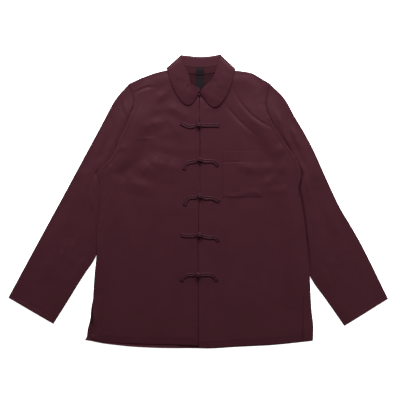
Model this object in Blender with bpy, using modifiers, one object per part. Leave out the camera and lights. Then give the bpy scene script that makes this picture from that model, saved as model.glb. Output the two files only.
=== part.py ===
# A long-sleeved jacket shirt with a turned-down collar and five frogs, laid flat on its back.
#
# The tables are in millimetres in the garment's own frame: x from the centre front, to the right as
# it is seen from above, y up from the hem, z up from the surface that it lies on. The wearer's left is
# at the right. An empty carries all the pieces and puts the middle of their box over the origin.

import math

import bmesh
import bpy
import numpy as np
from mathutils import Vector
from mathutils.bvhtree import BVHTree

MM = 0.001
WALL = 1.2  # cloth of the panels and sleeves, with its seams and facings
LEAF_WALL = 1.4  # the collar's two layers and interlining
GAP = 0.3  # between pieces at a seam

# Heights, over the surface that the garment lies on
EDGE_GAP = 0.8  # front over back where they are sewn together
LOFT = 2.2  # how much more the front stands off the back between its edges
ARMHOLE_LOFT = 2.2  # the front's armhole edge stands over the sleeve
SLEEVE_HEIGHT = 4.6
SLEEVE_END_HEIGHT = 3.2  # at the armhole, under the front's edge
TUCK_LIFT = 5.2  # the body lies on the sleeve's inner edge
COLLAR_LIFT = 1.9  # the back panel lies on the collar leaf
PLACKET_WIDTH = 32.0  # the right front runs on this far under the left one
PLACKET_LIFT = 1.9
SEAM_LAP = 2.5  # the front's armhole edge reaches this far over the sleeve

# How finely the panels are divided
BELOW_ROWS = 14  # hem to underarm
ARM_KNOTS = 10  # underarm to shoulder: the points that body and sleeve share
NECK_COLUMNS = 5
SHOULDER_COLUMNS = 9
PLACKET_COLUMNS = 2
SLEEVE_ROWS = 12
FOLD_COLUMNS = (0.03, 0.13)  # shares of a sleeve's column
UNDERARM_ROUNDS = 3  # the sleeve's end goes round the underarm in a curve, under the body
UNDERARM_SHARE = 0.66  # of a panel's height, where the side meets the armhole

# Outlines, each from its lowest or innermost point: x, y
SIDE_LEFT = [(-295, 26), (-291, 46), (-287, 67), (-287, 103), (-287, 136), (-283, 195), (-277, 255),
             (-275, 320), (-267, 386), (-269, 444), (-276, 471)]
SIDE_RIGHT = [(306, 20), (307, 59), (302.5, 100), (300, 133), (298, 175), (296, 206), (287.5, 286),
              (279.5, 355), (271, 402), (266, 429), (273, 463), (272, 471)]
BACK_SIDE_LEFT = [(-310, 22), (-306, 28), (-302, 51), (-295, 79), (-292, 111), (-287, 136), (-283, 195),
                  (-277, 255), (-275, 320), (-267, 386), (-269, 444), (-276, 471)]
BACK_SIDE_RIGHT = [(303, 19), (304, 59), (300.5, 100), (300, 133), (298, 175), (296, 206), (287.5, 286),
                   (279.5, 355), (271, 402), (266, 429), (273, 463), (272, 471)]
ARMHOLE_LEFT = [(-276, 471), (-257, 490), (-238, 510), (-221, 541), (-215, 561), (-203, 584),
                (-193, 606), (-185, 629), (-174, 655), (-179, 686), (-190, 713)]
ARMHOLE_RIGHT = [(272, 471), (259, 510), (235, 543), (209, 582), (191, 612), (177, 650), (183, 690),
                 (190, 713)]
SHOULDER_LEFT = [(-68, 750), (-92, 748.5), (-112, 744), (-153, 730), (-190, 713)]
SHOULDER_RIGHT = [(68, 750), (97, 748.5), (112, 747), (140, 742), (169, 726), (190, 713)]
FRONT_NECK = [(0, 690), (18, 692), (36, 700), (52, 714), (63, 731), (68, 750)]
BACK_NECK = [(0, 742), (22, 742), (45, 744.5), (68, 750)]
HEM_LEFT = [(0, 8), (-60, 10), (-130, 11.5), (-200, 14), (-240, 16.5), (-270, 20), (-295, 26)]
HEM_RIGHT = [(0, 1.5), (20, 1), (94, 5.5), (160, 9), (217, 13), (272, 18), (306, 20)]
HEM_BACK = [(-310, 22), (-290, 18.5), (-263, 13), (-228, 8.5), (-185, 4), (-130, 1), (0, -1),
            (20, -1.5), (94, 2.5), (217, 9.5), (272, 15.5), (303, 19)]
CENTRE_FRONT = [(-1.5, 1.5), (-3, 200), (-3, 285), (-1.5, 310), (-1, 380), (2.5, 405), (2.5, 555),
                (1, 600), (1, 690)]

# Sleeves: the outer edge from shoulder to cuff, how the end runs on under the body past the underarm,
# and the inner edge from there to the cuff, whose first stretch is tucked under the body too
SLEEVE_OUTER_LEFT = [(-190.5, 713.5), (-209, 697), (-219, 683), (-234, 659), (-262, 606), (-296, 543),
                     (-370, 406), (-444, 270), (-516, 136.5)]
SLEEVE_TUCK_LEFT = [(-269, 455), (-263, 444), (-259, 430)]
SLEEVE_INNER_LEFT = [(-259, 430), (-256, 400), (-256, 355), (-262, 310), (-278, 250), (-317, 189),
                     (-355, 127), (-394, 65.5)]
SLEEVE_OUTER_RIGHT = [(190.5, 713.5), (215, 694), (228, 675), (249, 638), (298, 553.5), (340, 462),
                      (379.5, 378), (420, 310), (509, 133.5)]
SLEEVE_TUCK_RIGHT = [(266, 455), (261, 444), (257, 430)]
SLEEVE_INNER_RIGHT = [(257, 430), (254.5, 400), (257, 350), (266, 290), (280, 240), (298, 193), (343, 128),
                      (390.5, 60)]
TUCK_LEFT = 251  # the height where the sleeve's inner edge leaves the body
TUCK_RIGHT = 196
TUCK_REACH = 34  # how far in from its edge the body is raised over the sleeve

# The largest folds: from, by way of, to, width, height over the cloth. A trough has a negative height.
FRONT_FOLDS = [
    # x0, y0, x1, y1, x2, y2, width, height
    (88, 700, 128, 632, 193, 590, 9, 4.0),
    (82, 688, 118, 622, 184, 585, 9, -2.0),
    (60, 668, 96, 612, 160, 560, 10, 2.6),
    (-188, 668, -168, 706, -112, 700, 10, 3.0),
    (-148, 610, -125, 606, -104, 622, 14, 2.4),
    (-182, 510, -128, 524, -55, 488, 15, 2.6),
    (-206, 458, -176, 470, -120, 438, 14, 2.6),
    (-258, 470, -250, 420, -255, 340, 9, 1.6),
    (-226, 462, -222, 410, -230, 350, 10, 1.4),
    (236, 462, 232, 410, 226, 330, 10, 1.8),
    (205, 540, 216, 505, 236, 470, 10, 1.6),
    (176, 450, 196, 440, 232, 428, 9, 1.4),
    (76, 408, 120, 424, 166, 417, 9, 1.4),
]
SLEEVE_FOLDS = [
    (-207, 676, -208, 646, -200, 626, 8, 1.6),
    (-256, 600, -262, 540, -300, 460, 14, 1.6),
    (-290, 440, -300, 400, -310, 360, 12, 1.6),
    (-340, 300, -362, 262, -386, 222, 14, 1.6),
    (205, 650, 222, 604, 256, 540, 12, 1.6),
    (262, 600, 292, 530, 318, 452, 14, -0.9),
    (330, 420, 352, 350, 380, 280, 14, 1.4),
]

# The collar, at stations from the throat round to the middle of the back. At each it is sewn to the
# neck at n, rolls over at r, and the leaf ends at l. At r the inner layer lies at zi and the leaf at zo.
# The leaf lies over the front, and from the shoulder on under the back.
COLLAR_LEFT = [
    # nx, ny, nz, rx, ry, zi, zo, lx, ly, lz
    (-1.5, 688, 6.8, 2.6, 698.2, 11, 12.5, -0.8, 689.5, 10.5),
    (-8, 688.5, 6.8, -4, 702, 11.5, 13, -8.4, 678.8, 9.8),
    (-16, 690, 6.7, -11, 705.5, 12, 13.6, -19, 663, 9),
    (-24, 692.5, 6.6, -17.5, 709, 12, 14, -31, 655, 8.6),
    (-33, 696.5, 6.6, -22.8, 712.8, 12, 14, -45, 664, 8.4),
    (-43, 703, 6.6, -25, 721, 12, 14, -58, 679, 8.2),
    (-53, 712, 6.6, -28, 733, 12, 14, -70, 702, 8),
    (-62, 725, 6.8, -33, 745, 11.5, 13.8, -78, 721, 7.8),
    (-66.5, 737, 7, -42, 763, 11, 13.2, -83, 740, 7.6),
    (-68.5, 747, 7, -47.5, 778, 9.6, 11.6, -87.5, 751, 7),
    (-66, 753, 5.6, -50.5, 787, 7, 7, -91.5, 756, 4),
    (-61, 750, 4.2, -49.5, 789, 4.8, 2.6, -87, 753, 1.6),
    (-53, 746, 3.6, -43, 788.5, 4.2, 1.8, -72, 746.5, 1.6),
    (-36, 741.5, 3.4, -29, 787, 3.8, 1.6, -45, 740, 1.6),
    (-18, 740, 3.4, -14, 785.5, 3.8, 1.6, -21, 738, 1.6),
]
COLLAR_BACK = (0, 740, 3.4, 0, 784.5, 3.8, 1.6, 0, 738, 1.6)
COLLAR_RIGHT = [
    (4.2, 687.5, 8.6, 3.8, 692.8, 11.5, 13, 4.8, 684, 10.8),
    (10, 688, 8.6, 8, 697, 12, 13.5, 12.7, 674, 10),
    (17, 690, 8.5, 13, 701.5, 12, 14, 25.7, 660, 9.4),
    (25, 693, 8.4, 18, 706.5, 12, 14, 38, 651, 9),
    (34, 697, 8.2, 24, 713.5, 12, 14, 51, 653.5, 8.8),
    (44, 704, 7.4, 30.5, 721.5, 12, 14, 62, 665, 8.6),
    (54, 713, 6.8, 36.5, 731.5, 12, 14, 73, 682, 8.4),
    (62, 725, 6.8, 42.5, 744, 11.5, 13.8, 82, 703, 8),
    (66.5, 737, 7, 49, 764, 11, 13.2, 89, 724, 7.6),
    (68.5, 747, 7, 54, 780, 9.6, 11.6, 94, 746, 7),
    (66, 753, 5.6, 56, 790, 7, 7, 98.5, 753.5, 4),
    (61, 750, 4.2, 54, 791, 4.8, 2.6, 91, 752.5, 1.6),
    (53, 746, 3.6, 47, 789, 4.2, 1.8, 74, 746.5, 1.6),
    (36, 741.5, 3.4, 32, 786.5, 3.8, 1.6, 46, 740, 1.6),
    (18, 740, 3.4, 16, 785, 3.8, 1.6, 21, 738, 1.6),
]
STAND_SHARE = 0.37  # of the way from the neck seam to the roll, where the leaf is sewn on
ROLL_RADIUS = 1.2
COLLAR_SEAM_GAP = 0.8
CREASE_SEAM_GAP = 6.4  # more than that where the collar folds over at the sides of the neck
CREASE_STATION = 10
COLLAR_STEPS = 2  # spans between two stations

# What is sewn on
POCKET = {"left": 62.5, "right": 169, "bottom": 408, "top": 530, "columns": 6, "rows": 7}
LABEL = {"left": -9, "right": 12, "bottom": 697, "top": 758, "wall": 0.8, "rows": 6}
THROAT_BUTTON = {"x": 0.2, "y": 682.5, "radius": 2.9, "height": 4.4}
CORD = {"diameter": 4.8, "pitch": 5.2, "loop_radius": 5.1, "points": 9}
KNOT = {"radius": 5.8, "half_height": 4.6, "neck_radius": 2.3, "rise": 8.5, "sides": 12}
# Each frog: its knot, and the middle line of its arms, outwards from the knot
FROGS = [
    {"knot": (-2, 601),
     "button": [(-15, 599), (-20, 597.5), (-27, 597), (-34, 599), (-42, 602.5), (-51, 607)],
     "loop": [(10, 601), (20, 601), (38, 601), (53, 600.5)]},
    {"knot": (0.5, 507.5),
     "button": [(-12.5, 504), (-18, 502.5), (-25, 502), (-32, 499.5), (-38, 493), (-42, 481)],
     "loop": [(12, 504), (24, 504), (34, 504), (40, 502), (46, 496.5), (49.5, 490)]},
    {"knot": (1.5, 409.5),
     "button": [(-11.5, 407), (-17, 406.5), (-25, 406.5), (-32, 403), (-37, 396), (-40.5, 385)],
     "loop": [(13, 405), (22, 404.5), (30, 405), (38, 403), (46, 399.5), (54, 395.5)]},
    {"knot": (0, 305),
     "button": [(-13, 304), (-22, 303.5), (-34, 303.5), (-42, 304.5), (-50, 307)],
     "loop": [(11, 301.5), (18, 300), (27, 298.5), (37, 299.5), (45, 296.5), (50.5, 288)]},
    {"knot": (-4, 198),
     "button": [(-17, 198), (-23, 198.5), (-31, 198.5), (-38, 195.5), (-45, 189.5), (-49.5, 181)],
     "loop": [(7, 198.5), (14, 199), (24, 199), (32, 198), (38.5, 194), (44, 187.5), (46.5, 181)]},
]

CLOTH = {"colour": (0.058, 0.014, 0.020, 1), "roughness": 0.45}
CORD_CLOTH = {"colour": (0.050, 0.012, 0.018, 1), "roughness": 0.4}
LABEL_CLOTH = {"colour": (0.012, 0.010, 0.012, 1), "roughness": 0.7}


def rise(start, end, value):
    # A smooth step from 0 at start to 1 at end.
    t = np.clip((np.asarray(value, float) - start) / (end - start), 0, 1)
    return t * t * (3 - 2 * t)


def curve(points, at):
    # The places at the given shares of the length of a smooth curve through the points.
    p = np.array(points, float)
    knots = np.concatenate([[0], np.cumsum(np.linalg.norm(np.diff(p, axis=0), axis=1))])
    knots /= knots[-1]
    slopes = np.gradient(p, knots, axis=0)
    at = np.atleast_1d(np.asarray(at, float))
    i = np.clip(np.searchsorted(knots, at, side="right") - 1, 0, len(p) - 2)
    span = (knots[i + 1] - knots[i])[:, None]
    t = (at - knots[i])[:, None] / span
    return ((2 * t**3 - 3 * t**2 + 1) * p[i] + (t**3 - 2 * t**2 + t) * span * slopes[i]
            + (3 * t**2 - 2 * t**3) * p[i + 1] + (t**3 - t**2) * span * slopes[i + 1])


def divided(points, count):
    return curve(points, np.linspace(0, 1, count + 1))


def between(polyline, shares):
    # The places at the given shares of a polyline, counted by its points.
    p = np.array(polyline, float)
    where = np.asarray(shares, float) * (len(p) - 1)
    return np.stack([np.interp(where, np.arange(len(p)), p[:, k]) for k in range(2)], axis=1)


def moved_out(polyline, distance):
    # An open polyline moved to the left of its own direction.
    along = np.gradient(polyline, axis=0)
    along /= np.linalg.norm(along, axis=1)[:, None]
    return polyline + distance * np.stack([-along[:, 1], along[:, 0]], axis=1)


def patch(inner, outer, bottom, top, across, up):
    # A grid of plan positions filled in between four edges. across and up are the shares of its
    # columns and rows, and each edge has one point for each of them.
    grid = np.zeros((len(up), len(across), 2))
    for j, v in enumerate(up):
        for i, u in enumerate(across):
            sides = (1 - v) * bottom[i] + v * top[i] + (1 - u) * inner[j] + u * outer[j]
            corners = ((1 - u) * (1 - v) * bottom[0] + u * (1 - v) * bottom[-1]
                       + (1 - u) * v * top[0] + u * v * top[-1])
            grid[j, i] = sides - corners
    return grid


def evened(grid, rounds):
    # The grid with its inner points moved until its lines cross nowhere and run evenly, round a
    # re-entrant edge too. Each round takes one step of an elliptic grid's equations.
    p = grid.copy()
    for _ in range(rounds):
        down, along = (p[2:, 1:-1] - p[:-2, 1:-1]) / 2, (p[1:-1, 2:] - p[1:-1, :-2]) / 2
        a, b, c = (down**2).sum(2), (down * along).sum(2), (along**2).sum(2)
        twist = (p[2:, 2:] - p[2:, :-2] - p[:-2, 2:] + p[:-2, :-2]) / 4
        beside, above = p[1:-1, 2:] + p[1:-1, :-2], p[2:, 1:-1] + p[:-2, 1:-1]
        a, b, c = a[..., None], b[..., None], c[..., None]
        p[1:-1, 1:-1] = (a * beside + c * above - 2 * b * twist) / (2 * (a + c))
    return p


def at_height(outline, y):
    # The outline's x at the height y.
    p = np.array(outline, float)
    return np.interp(y, p[:, 1], p[:, 0])


def fold_height(folds, x, y):
    # What the folds add: each is a soft ridge or trough along a bent line, fading at its ends.
    total = np.zeros_like(x)
    for x0, y0, x1, y1, x2, y2, width, height in folds:
        t = np.linspace(0, 1, 25)
        line_x = (1 - t) ** 2 * x0 + 2 * t * (1 - t) * x1 + t**2 * x2
        line_y = (1 - t) ** 2 * y0 + 2 * t * (1 - t) * y1 + t**2 * y2
        away = np.hypot(x[..., None] - line_x, y[..., None] - line_y)
        nearest = away.argmin(axis=-1)
        fade = np.sin(math.pi * np.clip(t[nearest], 0.04, 0.96)) ** 0.6
        total += height * fade * np.exp(-((away.min(axis=-1) / width) ** 2))
    return total


def back_underside(x, y):
    # Flat on the surface, and raised where the sleeves and the collar leaf lie under it.
    lifts = []
    for edge, low, sign in ((SIDE_LEFT + ARMHOLE_LEFT[1:], TUCK_LEFT, -1),
                            (SIDE_RIGHT + ARMHOLE_RIGHT[1:], TUCK_RIGHT, 1)):
        inward = sign * (at_height(edge, y) - x)
        lifts.append(TUCK_LIFT * (1 - rise(TUCK_REACH, TUCK_REACH + 45, inward))
                     * rise(low - 62, low - 14, y) * (1 - rise(600, 690, y)))
    collar = COLLAR_LIFT * rise(660, 695, y) * (1 - rise(112, 145, np.abs(x)))
    return np.maximum(np.maximum(lifts[0], lifts[1]), collar)


def front_underside(x, y, to_edge, to_armhole):
    # Over the back, with more air between its edges. to_edge is the distance to the nearest sewn edge.
    air = EDGE_GAP + LOFT * rise(0, 30, to_edge)
    air = np.maximum(air, EDGE_GAP + ARMHOLE_LOFT * (1 - rise(0, 60, to_armhole)))
    folded = fold_height(FRONT_FOLDS, x, y) * rise(2, 26, to_edge)
    return back_underside(x, y) + WALL + np.maximum(air + folded, EDGE_GAP)


def add_material(obj, finish):
    material = bpy.data.materials.new(obj.name)
    material.use_nodes = True
    shader = material.node_tree.nodes["Principled BSDF"]
    shader.inputs["Base Color"].default_value = finish["colour"]
    shader.inputs["Roughness"].default_value = finish["roughness"]
    shader.inputs["Metallic"].default_value = 0
    obj.data.materials.append(material)


def add_object(name, data, finish):
    obj = bpy.data.objects.new(name, data)
    garment.objects.link(obj)
    add_material(obj, finish)
    return obj


def loft(name, sections, finish, closed=False):
    # A surface through sections with equal numbers of points. A closed one has rings for sections.
    mesh = bpy.data.meshes.new(name)
    bm = bmesh.new()
    rows = [[bm.verts.new(Vector(p) * MM) for p in section] for section in sections]
    for low, high in zip(rows, rows[1:]):
        for i in range(len(low) if closed else len(low) - 1):
            k = (i + 1) % len(low)
            bm.faces.new((low[i], low[k], high[k], high[i]))
    bm.to_mesh(mesh)
    bm.free()
    mesh.shade_smooth()
    return add_object(name, mesh, finish)


def thicken(obj, wall, offset, even=True):
    solid = obj.modifiers.new("wall", "SOLIDIFY")
    solid.thickness = wall * MM
    solid.offset = offset
    solid.use_even_offset = even
    return obj


def with_height(plan, z):
    return np.concatenate([plan, z[..., None]], axis=2)


def panel_rows():
    below = np.linspace(0, UNDERARM_SHARE, BELOW_ROWS + 1)
    above = np.linspace(UNDERARM_SHARE, 1, 2 * ARM_KNOTS + 1)[1:]
    return np.concatenate([below, above])


def outer_edge(side, armhole, lap):
    # The side up to the underarm, then the armhole, as many points as panel_rows().
    sign = 1 if armhole[0][0] < 0 else -1
    hole = moved_out(divided(armhole, ARM_KNOTS), sign * lap)
    above = between(hole, np.linspace(0, 1, 2 * ARM_KNOTS + 1))
    return np.concatenate([divided(side, BELOW_ROWS), above[1:]])


def front(name, side, armhole, shoulder, hem, neck_sign, placket):
    # One front panel. With a placket it runs on past the centre, under the other front.
    up = panel_rows()
    outer = outer_edge(side, armhole, SEAM_LAP)
    top = np.concatenate([divided(FRONT_NECK, NECK_COLUMNS) * [neck_sign, 1],
                          divided(shoulder, SHOULDER_COLUMNS)[1:]])
    bottom = divided(hem, NECK_COLUMNS + SHOULDER_COLUMNS)
    top[-1], bottom[-1] = outer[-1], outer[0]
    past_centre = 0
    if placket:
        lap = -neck_sign * np.linspace(PLACKET_WIDTH, 0, PLACKET_COLUMNS + 1)[:-1]
        top = np.concatenate([np.stack([lap, np.full(len(lap), FRONT_NECK[0][1] + 0.5)], axis=1), top])
        bottom = np.concatenate([np.stack([lap, np.full(len(lap), hem[0][1])], axis=1), bottom])
        past_centre = lap[0]
    line_y = np.linspace(bottom[0][1], top[0][1], len(up))
    inner = np.stack([at_height(CENTRE_FRONT, line_y) + past_centre, line_y], axis=1)
    top[0][0], bottom[0][0] = inner[-1][0], inner[0][0]
    across = np.linspace(0, 1, len(top))
    plan = patch(inner, outer, bottom, top, across, up)
    x, y = plan[..., 0], plan[..., 1]
    to_side = np.linalg.norm(plan - plan[:, -1:], axis=2)
    to_top = np.linalg.norm(plan - plan[-1:], axis=2)
    to_hem = np.linalg.norm(plan - plan[:1], axis=2)
    to_armhole = np.where(up[:, None] > UNDERARM_SHARE, to_side, 999)
    z = front_underside(x, y, np.minimum(np.minimum(to_side, to_top), 1.5 * to_hem), to_armhole)
    if not placket:
        from_centre = x - at_height(CENTRE_FRONT, y)
        z = z + PLACKET_LIFT * (1 - rise(PLACKET_WIDTH + 4, PLACKET_WIDTH + 20, from_centre))
    grid = with_height(plan, z)
    if neck_sign < 0:
        grid = grid[:, ::-1]
    return thicken(loft(name, grid, CLOTH), WALL, 1)


def back():
    up = panel_rows()
    left = outer_edge(BACK_SIDE_LEFT, ARMHOLE_LEFT, 0)
    right = outer_edge(BACK_SIDE_RIGHT, ARMHOLE_RIGHT, 0)
    neck = divided(BACK_NECK, 3)
    shoulders = [divided(s, 5)[1:] for s in (SHOULDER_LEFT, SHOULDER_RIGHT)]
    top = np.concatenate([shoulders[0][::-1], neck[::-1] * [-1, 1], neck[1:], shoulders[1]])
    top[0], top[-1] = left[-1], right[-1]
    bottom = divided(HEM_BACK, len(top) - 1)
    bottom[0], bottom[-1] = left[0], right[0]
    plan = patch(left, right, bottom, top, np.linspace(0, 1, len(top)), up)
    z = back_underside(plan[..., 0], plan[..., 1])
    return thicken(loft("back", with_height(plan, z), CLOTH), WALL, 1)


def sleeve(name, outer, inner, armhole, tuck):
    # A flattened tube, open at the armhole and at the cuff. Its rings go out over the top from the
    # outer fold to the inner one and back underneath.
    sign = 1 if armhole[0][0] < 0 else -1
    start = moved_out(np.concatenate([divided(armhole, ARM_KNOTS)[::-1], tuck]), -sign * 0.5)
    for _ in range(UNDERARM_ROUNDS):
        middle = start[ARM_KNOTS - 1 : ARM_KNOTS + 2]
        middle += (start[ARM_KNOTS - 2 : ARM_KNOTS + 1] + start[ARM_KNOTS : ARM_KNOTS + 3] - 2 * middle) / 4
    columns, up = len(start) - 1, np.linspace(0, 1, SLEEVE_ROWS + 1)
    outer_line, inner_line = curve(outer, up), curve(inner, up)
    outer_line[0], inner_line[0] = start[0], start[-1]
    even = np.linspace(0, 1, columns + 1)
    cuff = (1 - even)[:, None] * outer_line[-1] + even[:, None] * inner_line[-1]
    plan = evened(patch(outer_line, inner_line, start, cuff, even, up), 300)
    # Two more columns beside each fold round it off.
    near, far = [0, FOLD_COLUMNS[0], FOLD_COLUMNS[1]], [1 - FOLD_COLUMNS[1], 1 - FOLD_COLUMNS[0], 1]
    across = np.array(near + list(range(1, columns)) + [columns - 1 + f for f in far]) / columns
    i = np.minimum((across * columns + 1e-9).astype(int), columns - 1)
    t = (across * columns - i)[:, None]
    plan = plan[:, i] * (1 - t) + plan[:, i + 1] * t
    x, y = plan[..., 0], plan[..., 1]
    from_armhole = np.linalg.norm(plan - plan[:1], axis=2)
    height = SLEEVE_END_HEIGHT + (SLEEVE_HEIGHT - SLEEVE_END_HEIGHT) * rise(4, 40, from_armhole)
    roundness = np.array([0, 0.66, 0.94] + [1] * (columns - 1) + [0.94, 0.66, 0])
    inside = rise(0, 0.16, across) * rise(0, 0.16, 1 - across) * rise(4, 30, from_armhole)
    over_body = np.abs(x) - np.where(x < 0, -at_height(SIDE_LEFT, y), at_height(SIDE_RIGHT, y))
    inside = inside * np.where(y < 480, rise(2, 22, over_body), 1)
    top = height / 2 * (1 + roundness) + inside * fold_height(SLEEVE_FOLDS, x, y)
    low = height / 2 * (1 - roundness)
    rings = []
    for j in range(len(up)):
        over = [(*plan[j, i], top[j, i]) for i in range(len(across))]
        under = [(*plan[j, i], low[j, i]) for i in range(len(across) - 2, 0, -1)]
        rings.append((over + under)[::-sign])
    return thicken(loft(name, rings, CLOTH, closed=True), WALL, -1, even=False)


def unit(vector):
    return vector / np.linalg.norm(vector)


def collar_sections():
    # At each station the points from the neck seam over the roll to the leaf's edge.
    stations = COLLAR_LEFT + [COLLAR_BACK] + COLLAR_RIGHT[::-1]
    table = np.array(stations, float)
    where = np.arange(len(table))
    slopes = np.gradient(table, axis=0)
    sections = []
    for s in np.linspace(0, len(table) - 1, (len(table) - 1) * COLLAR_STEPS + 1):
        i = min(int(s), len(table) - 2)
        t = s - where[i]
        row = ((2 * t**3 - 3 * t**2 + 1) * table[i] + (t**3 - 2 * t**2 + t) * slopes[i]
               + (3 * t**2 - 2 * t**3) * table[i + 1] + (t**3 - t**2) * slopes[i + 1])
        n, r, leaf = row[0:3], row[3:5], row[7:10]
        z_in, z_out = row[5], row[6]
        roll_in = np.array([*(r + ROLL_RADIUS * unit(n[:2] - r)), z_in])
        roll_out = np.array([*(r + ROLL_RADIUS * unit(leaf[:2] - r)), z_out])
        tip = np.array([*r, (z_in + z_out) / 2])
        from_crease = abs(s - len(COLLAR_LEFT)) - (len(COLLAR_LEFT) - CREASE_STATION)
        seam_gap = COLLAR_SEAM_GAP + CREASE_SEAM_GAP * math.exp(-((from_crease / 1.8) ** 2))
        sections.append((n, roll_in, tip, roll_out, leaf, seam_gap))
    return sections


def collar(over):
    # The stand, and the leaf that is sewn to its upper edge. over finds the height of what lies below.
    stand_rows, leaf_rows = [], []
    for n, roll_in, tip, roll_out, leaf, seam_gap in collar_sections():
        gap = 0.5 * seam_gap / np.linalg.norm(roll_in - n)
        stand_row = [n + (roll_in - n) * k * (STAND_SHARE - gap) for k in (0, 0.5, 1)]
        for p in stand_row:
            if n[2] > 5:
                p[2] = max(p[2], over(p[0], p[1], 4) + WALL + GAP + 0.2)
        stand_rows.append(stand_row)
        inner = [n + (roll_in - n) * k for k in (STAND_SHARE + gap, 0.7)]
        outer = [roll_out + (leaf - roll_out) * k for k in (0.33, 0.67, 1)]
        for p in outer:
            if p[2] > COLLAR_LIFT + LEAF_WALL:
                p[2] = max(p[2], over(p[0], p[1], 6) + GAP + 0.3)
        leaf_rows.append(inner + [roll_in, tip, roll_out] + outer)
    stand = thicken(loft("collar_stand", stand_rows, CLOTH), WALL, -1, even=False)
    leaf = thicken(loft("collar_leaf", leaf_rows, CLOTH), LEAF_WALL, -1, even=False)
    return stand, leaf


def height_finder(*objects):
    # A function that gives the highest surface of the objects around a place in plan.
    graph = bpy.context.evaluated_depsgraph_get()
    trees = [BVHTree.FromObject(obj, graph) for obj in objects]

    def highest(x, y, around=0.0):
        found = 0.0
        for dx, dy in ((0, 0), (around, 0), (-around, 0), (0, around), (0, -around)):
            for tree in trees:
                hit = tree.ray_cast(Vector((x + dx, y + dy, 100)) * MM, Vector((0, 0, -1)))[0]
                if hit is not None:
                    found = max(found, hit.z / MM)
        return found

    return highest


def pocket(over):
    # A patch that lies on the front.
    rows = []
    for y in np.linspace(POCKET["bottom"], POCKET["top"], POCKET["rows"] + 1):
        rows.append([(x, y, over(x, y, 7) + GAP + 0.1)
                     for x in np.linspace(POCKET["left"], POCKET["right"], POCKET["columns"] + 1)])
    return thicken(loft("chest_pocket", rows, CLOTH), WALL, 1)


def label(over):
    # A woven strip that hangs from the stand's upper seam over the inside of the back.
    rows = []
    for y in np.linspace(LABEL["bottom"], LABEL["top"], LABEL["rows"] + 1):
        z = over(0, y, 8) + GAP + 0.1
        rows.append([(x, y, z) for x in np.linspace(LABEL["left"], LABEL["right"], 3)])
    return thicken(loft("label", rows, LABEL_CLOTH), LABEL["wall"], 1)


def tube(name, points, diameter, finish):
    data = bpy.data.curves.new(name, "CURVE")
    data.dimensions = "3D"
    data.bevel_depth = diameter / 2 * MM
    data.bevel_resolution = 1
    data.use_fill_caps = True
    spline = data.splines.new("POLY")
    spline.points.add(len(points) - 1)
    for point, place in zip(spline.points, points):
        point.co = (*(Vector(place) * MM), 1)
    spline.use_smooth = True
    return add_object(name, data, finish)


def frog_arm(name, middle, knot, has_loop, over):
    # A doubled cord: in along one strand, round the knot's neck or back on itself, and out again.
    line = divided(middle, CORD["points"] - 1)
    strands = [moved_out(line, side * CORD["pitch"] / 2) for side in (-1, 1)]
    inward = unit(line[0] - line[1])
    if has_loop:
        centre, radius, opening = np.array(knot), CORD["loop_radius"], 0.62
    else:
        centre, radius, opening = line[0], CORD["pitch"] / 2, math.pi / 2
    facing = math.atan2(inward[1], inward[0])
    turn = np.linspace(-math.pi + opening, math.pi - opening, 9 if has_loop else 4)
    bend = [centre + radius * np.array([math.cos(facing + a), math.sin(facing + a)]) for a in turn]
    to_bend = [np.linalg.norm(strand[0] - bend[0]) for strand in strands]
    first, last = (0, 1) if to_bend[0] < to_bend[1] else (1, 0)
    skip = 0 if has_loop else 1
    plan = [*strands[first][::-1], *bend[skip : len(bend) - skip], *strands[last]]
    radius = CORD["diameter"] / 2
    points = [(x, y, over(x, y, radius + 1) + GAP + radius) for x, y in plan]
    return tube(name, points, CORD["diameter"], CORD_CLOTH)


def turned(name, profile, place, sides, finish):
    # A body turned about the vertical through a place. The profile runs down its outer side.
    mesh = bpy.data.meshes.new(name)
    edges = [(i, i + 1) for i in range(len(profile) - 1)]
    mesh.from_pydata([(r * MM, 0, z * MM) for r, z in profile], edges, [])
    obj = add_object(name, mesh, finish)
    obj.location = Vector(place) * MM
    screw = obj.modifiers.new("turn", "SCREW")
    screw.steps = screw.render_steps = sides
    screw.use_merge_vertices = True
    screw.merge_threshold = 0.0001
    screw.use_smooth_shade = True
    return obj


def frog_knot(name, knot, over):
    # A ball knot on the neck that comes up through the loop.
    x, y = knot
    centre, half, radius, neck = KNOT["rise"], KNOT["half_height"], KNOT["radius"], KNOT["neck_radius"]
    meets = math.asin(neck / radius)
    ball = [(radius * math.sin(a), centre + half * math.cos(a)) for a in np.linspace(0, math.pi - meets, 7)]
    profile = ball + [(neck, GAP + 0.1), (0, GAP + 0.1)]
    return turned(name, profile, (x, y, over(x, y, neck + 1)), KNOT["sides"], CORD_CLOTH)


def throat_button(over):
    x, y, radius = THROAT_BUTTON["x"], THROAT_BUTTON["y"], THROAT_BUTTON["radius"]
    half = THROAT_BUTTON["height"] / 2
    profile = [(radius * math.sin(a), half + half * math.cos(a)) for a in np.linspace(0, math.pi, 7)]
    return turned("throat_button", profile, (x, y, over(x, y, radius) + GAP), 10, CLOTH)


def centre_on_origin():
    # Every piece hangs from an empty that puts the middle of their box over the origin.
    holder = bpy.data.objects.new("garment_origin", None)
    garment.objects.link(holder)
    bpy.context.view_layer.update()
    graph = bpy.context.evaluated_depsgraph_get()
    places = []
    for obj in garment.objects:
        if obj.type != "EMPTY":
            evaluated = obj.evaluated_get(graph)
            places += [evaluated.matrix_world @ v.co for v in evaluated.to_mesh().vertices]
            evaluated.to_mesh_clear()
            obj.parent = holder
    low = [min(p[k] for p in places) for k in range(3)]
    high = [max(p[k] for p in places) for k in range(3)]
    holder.location = (-(low[0] + high[0]) / 2, -(low[1] + high[1]) / 2, -low[2])


for old in list(bpy.data.objects):
    bpy.data.objects.remove(old)
garment = bpy.data.collections.new("frog_shirt")
bpy.context.scene.collection.children.link(garment)

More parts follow.
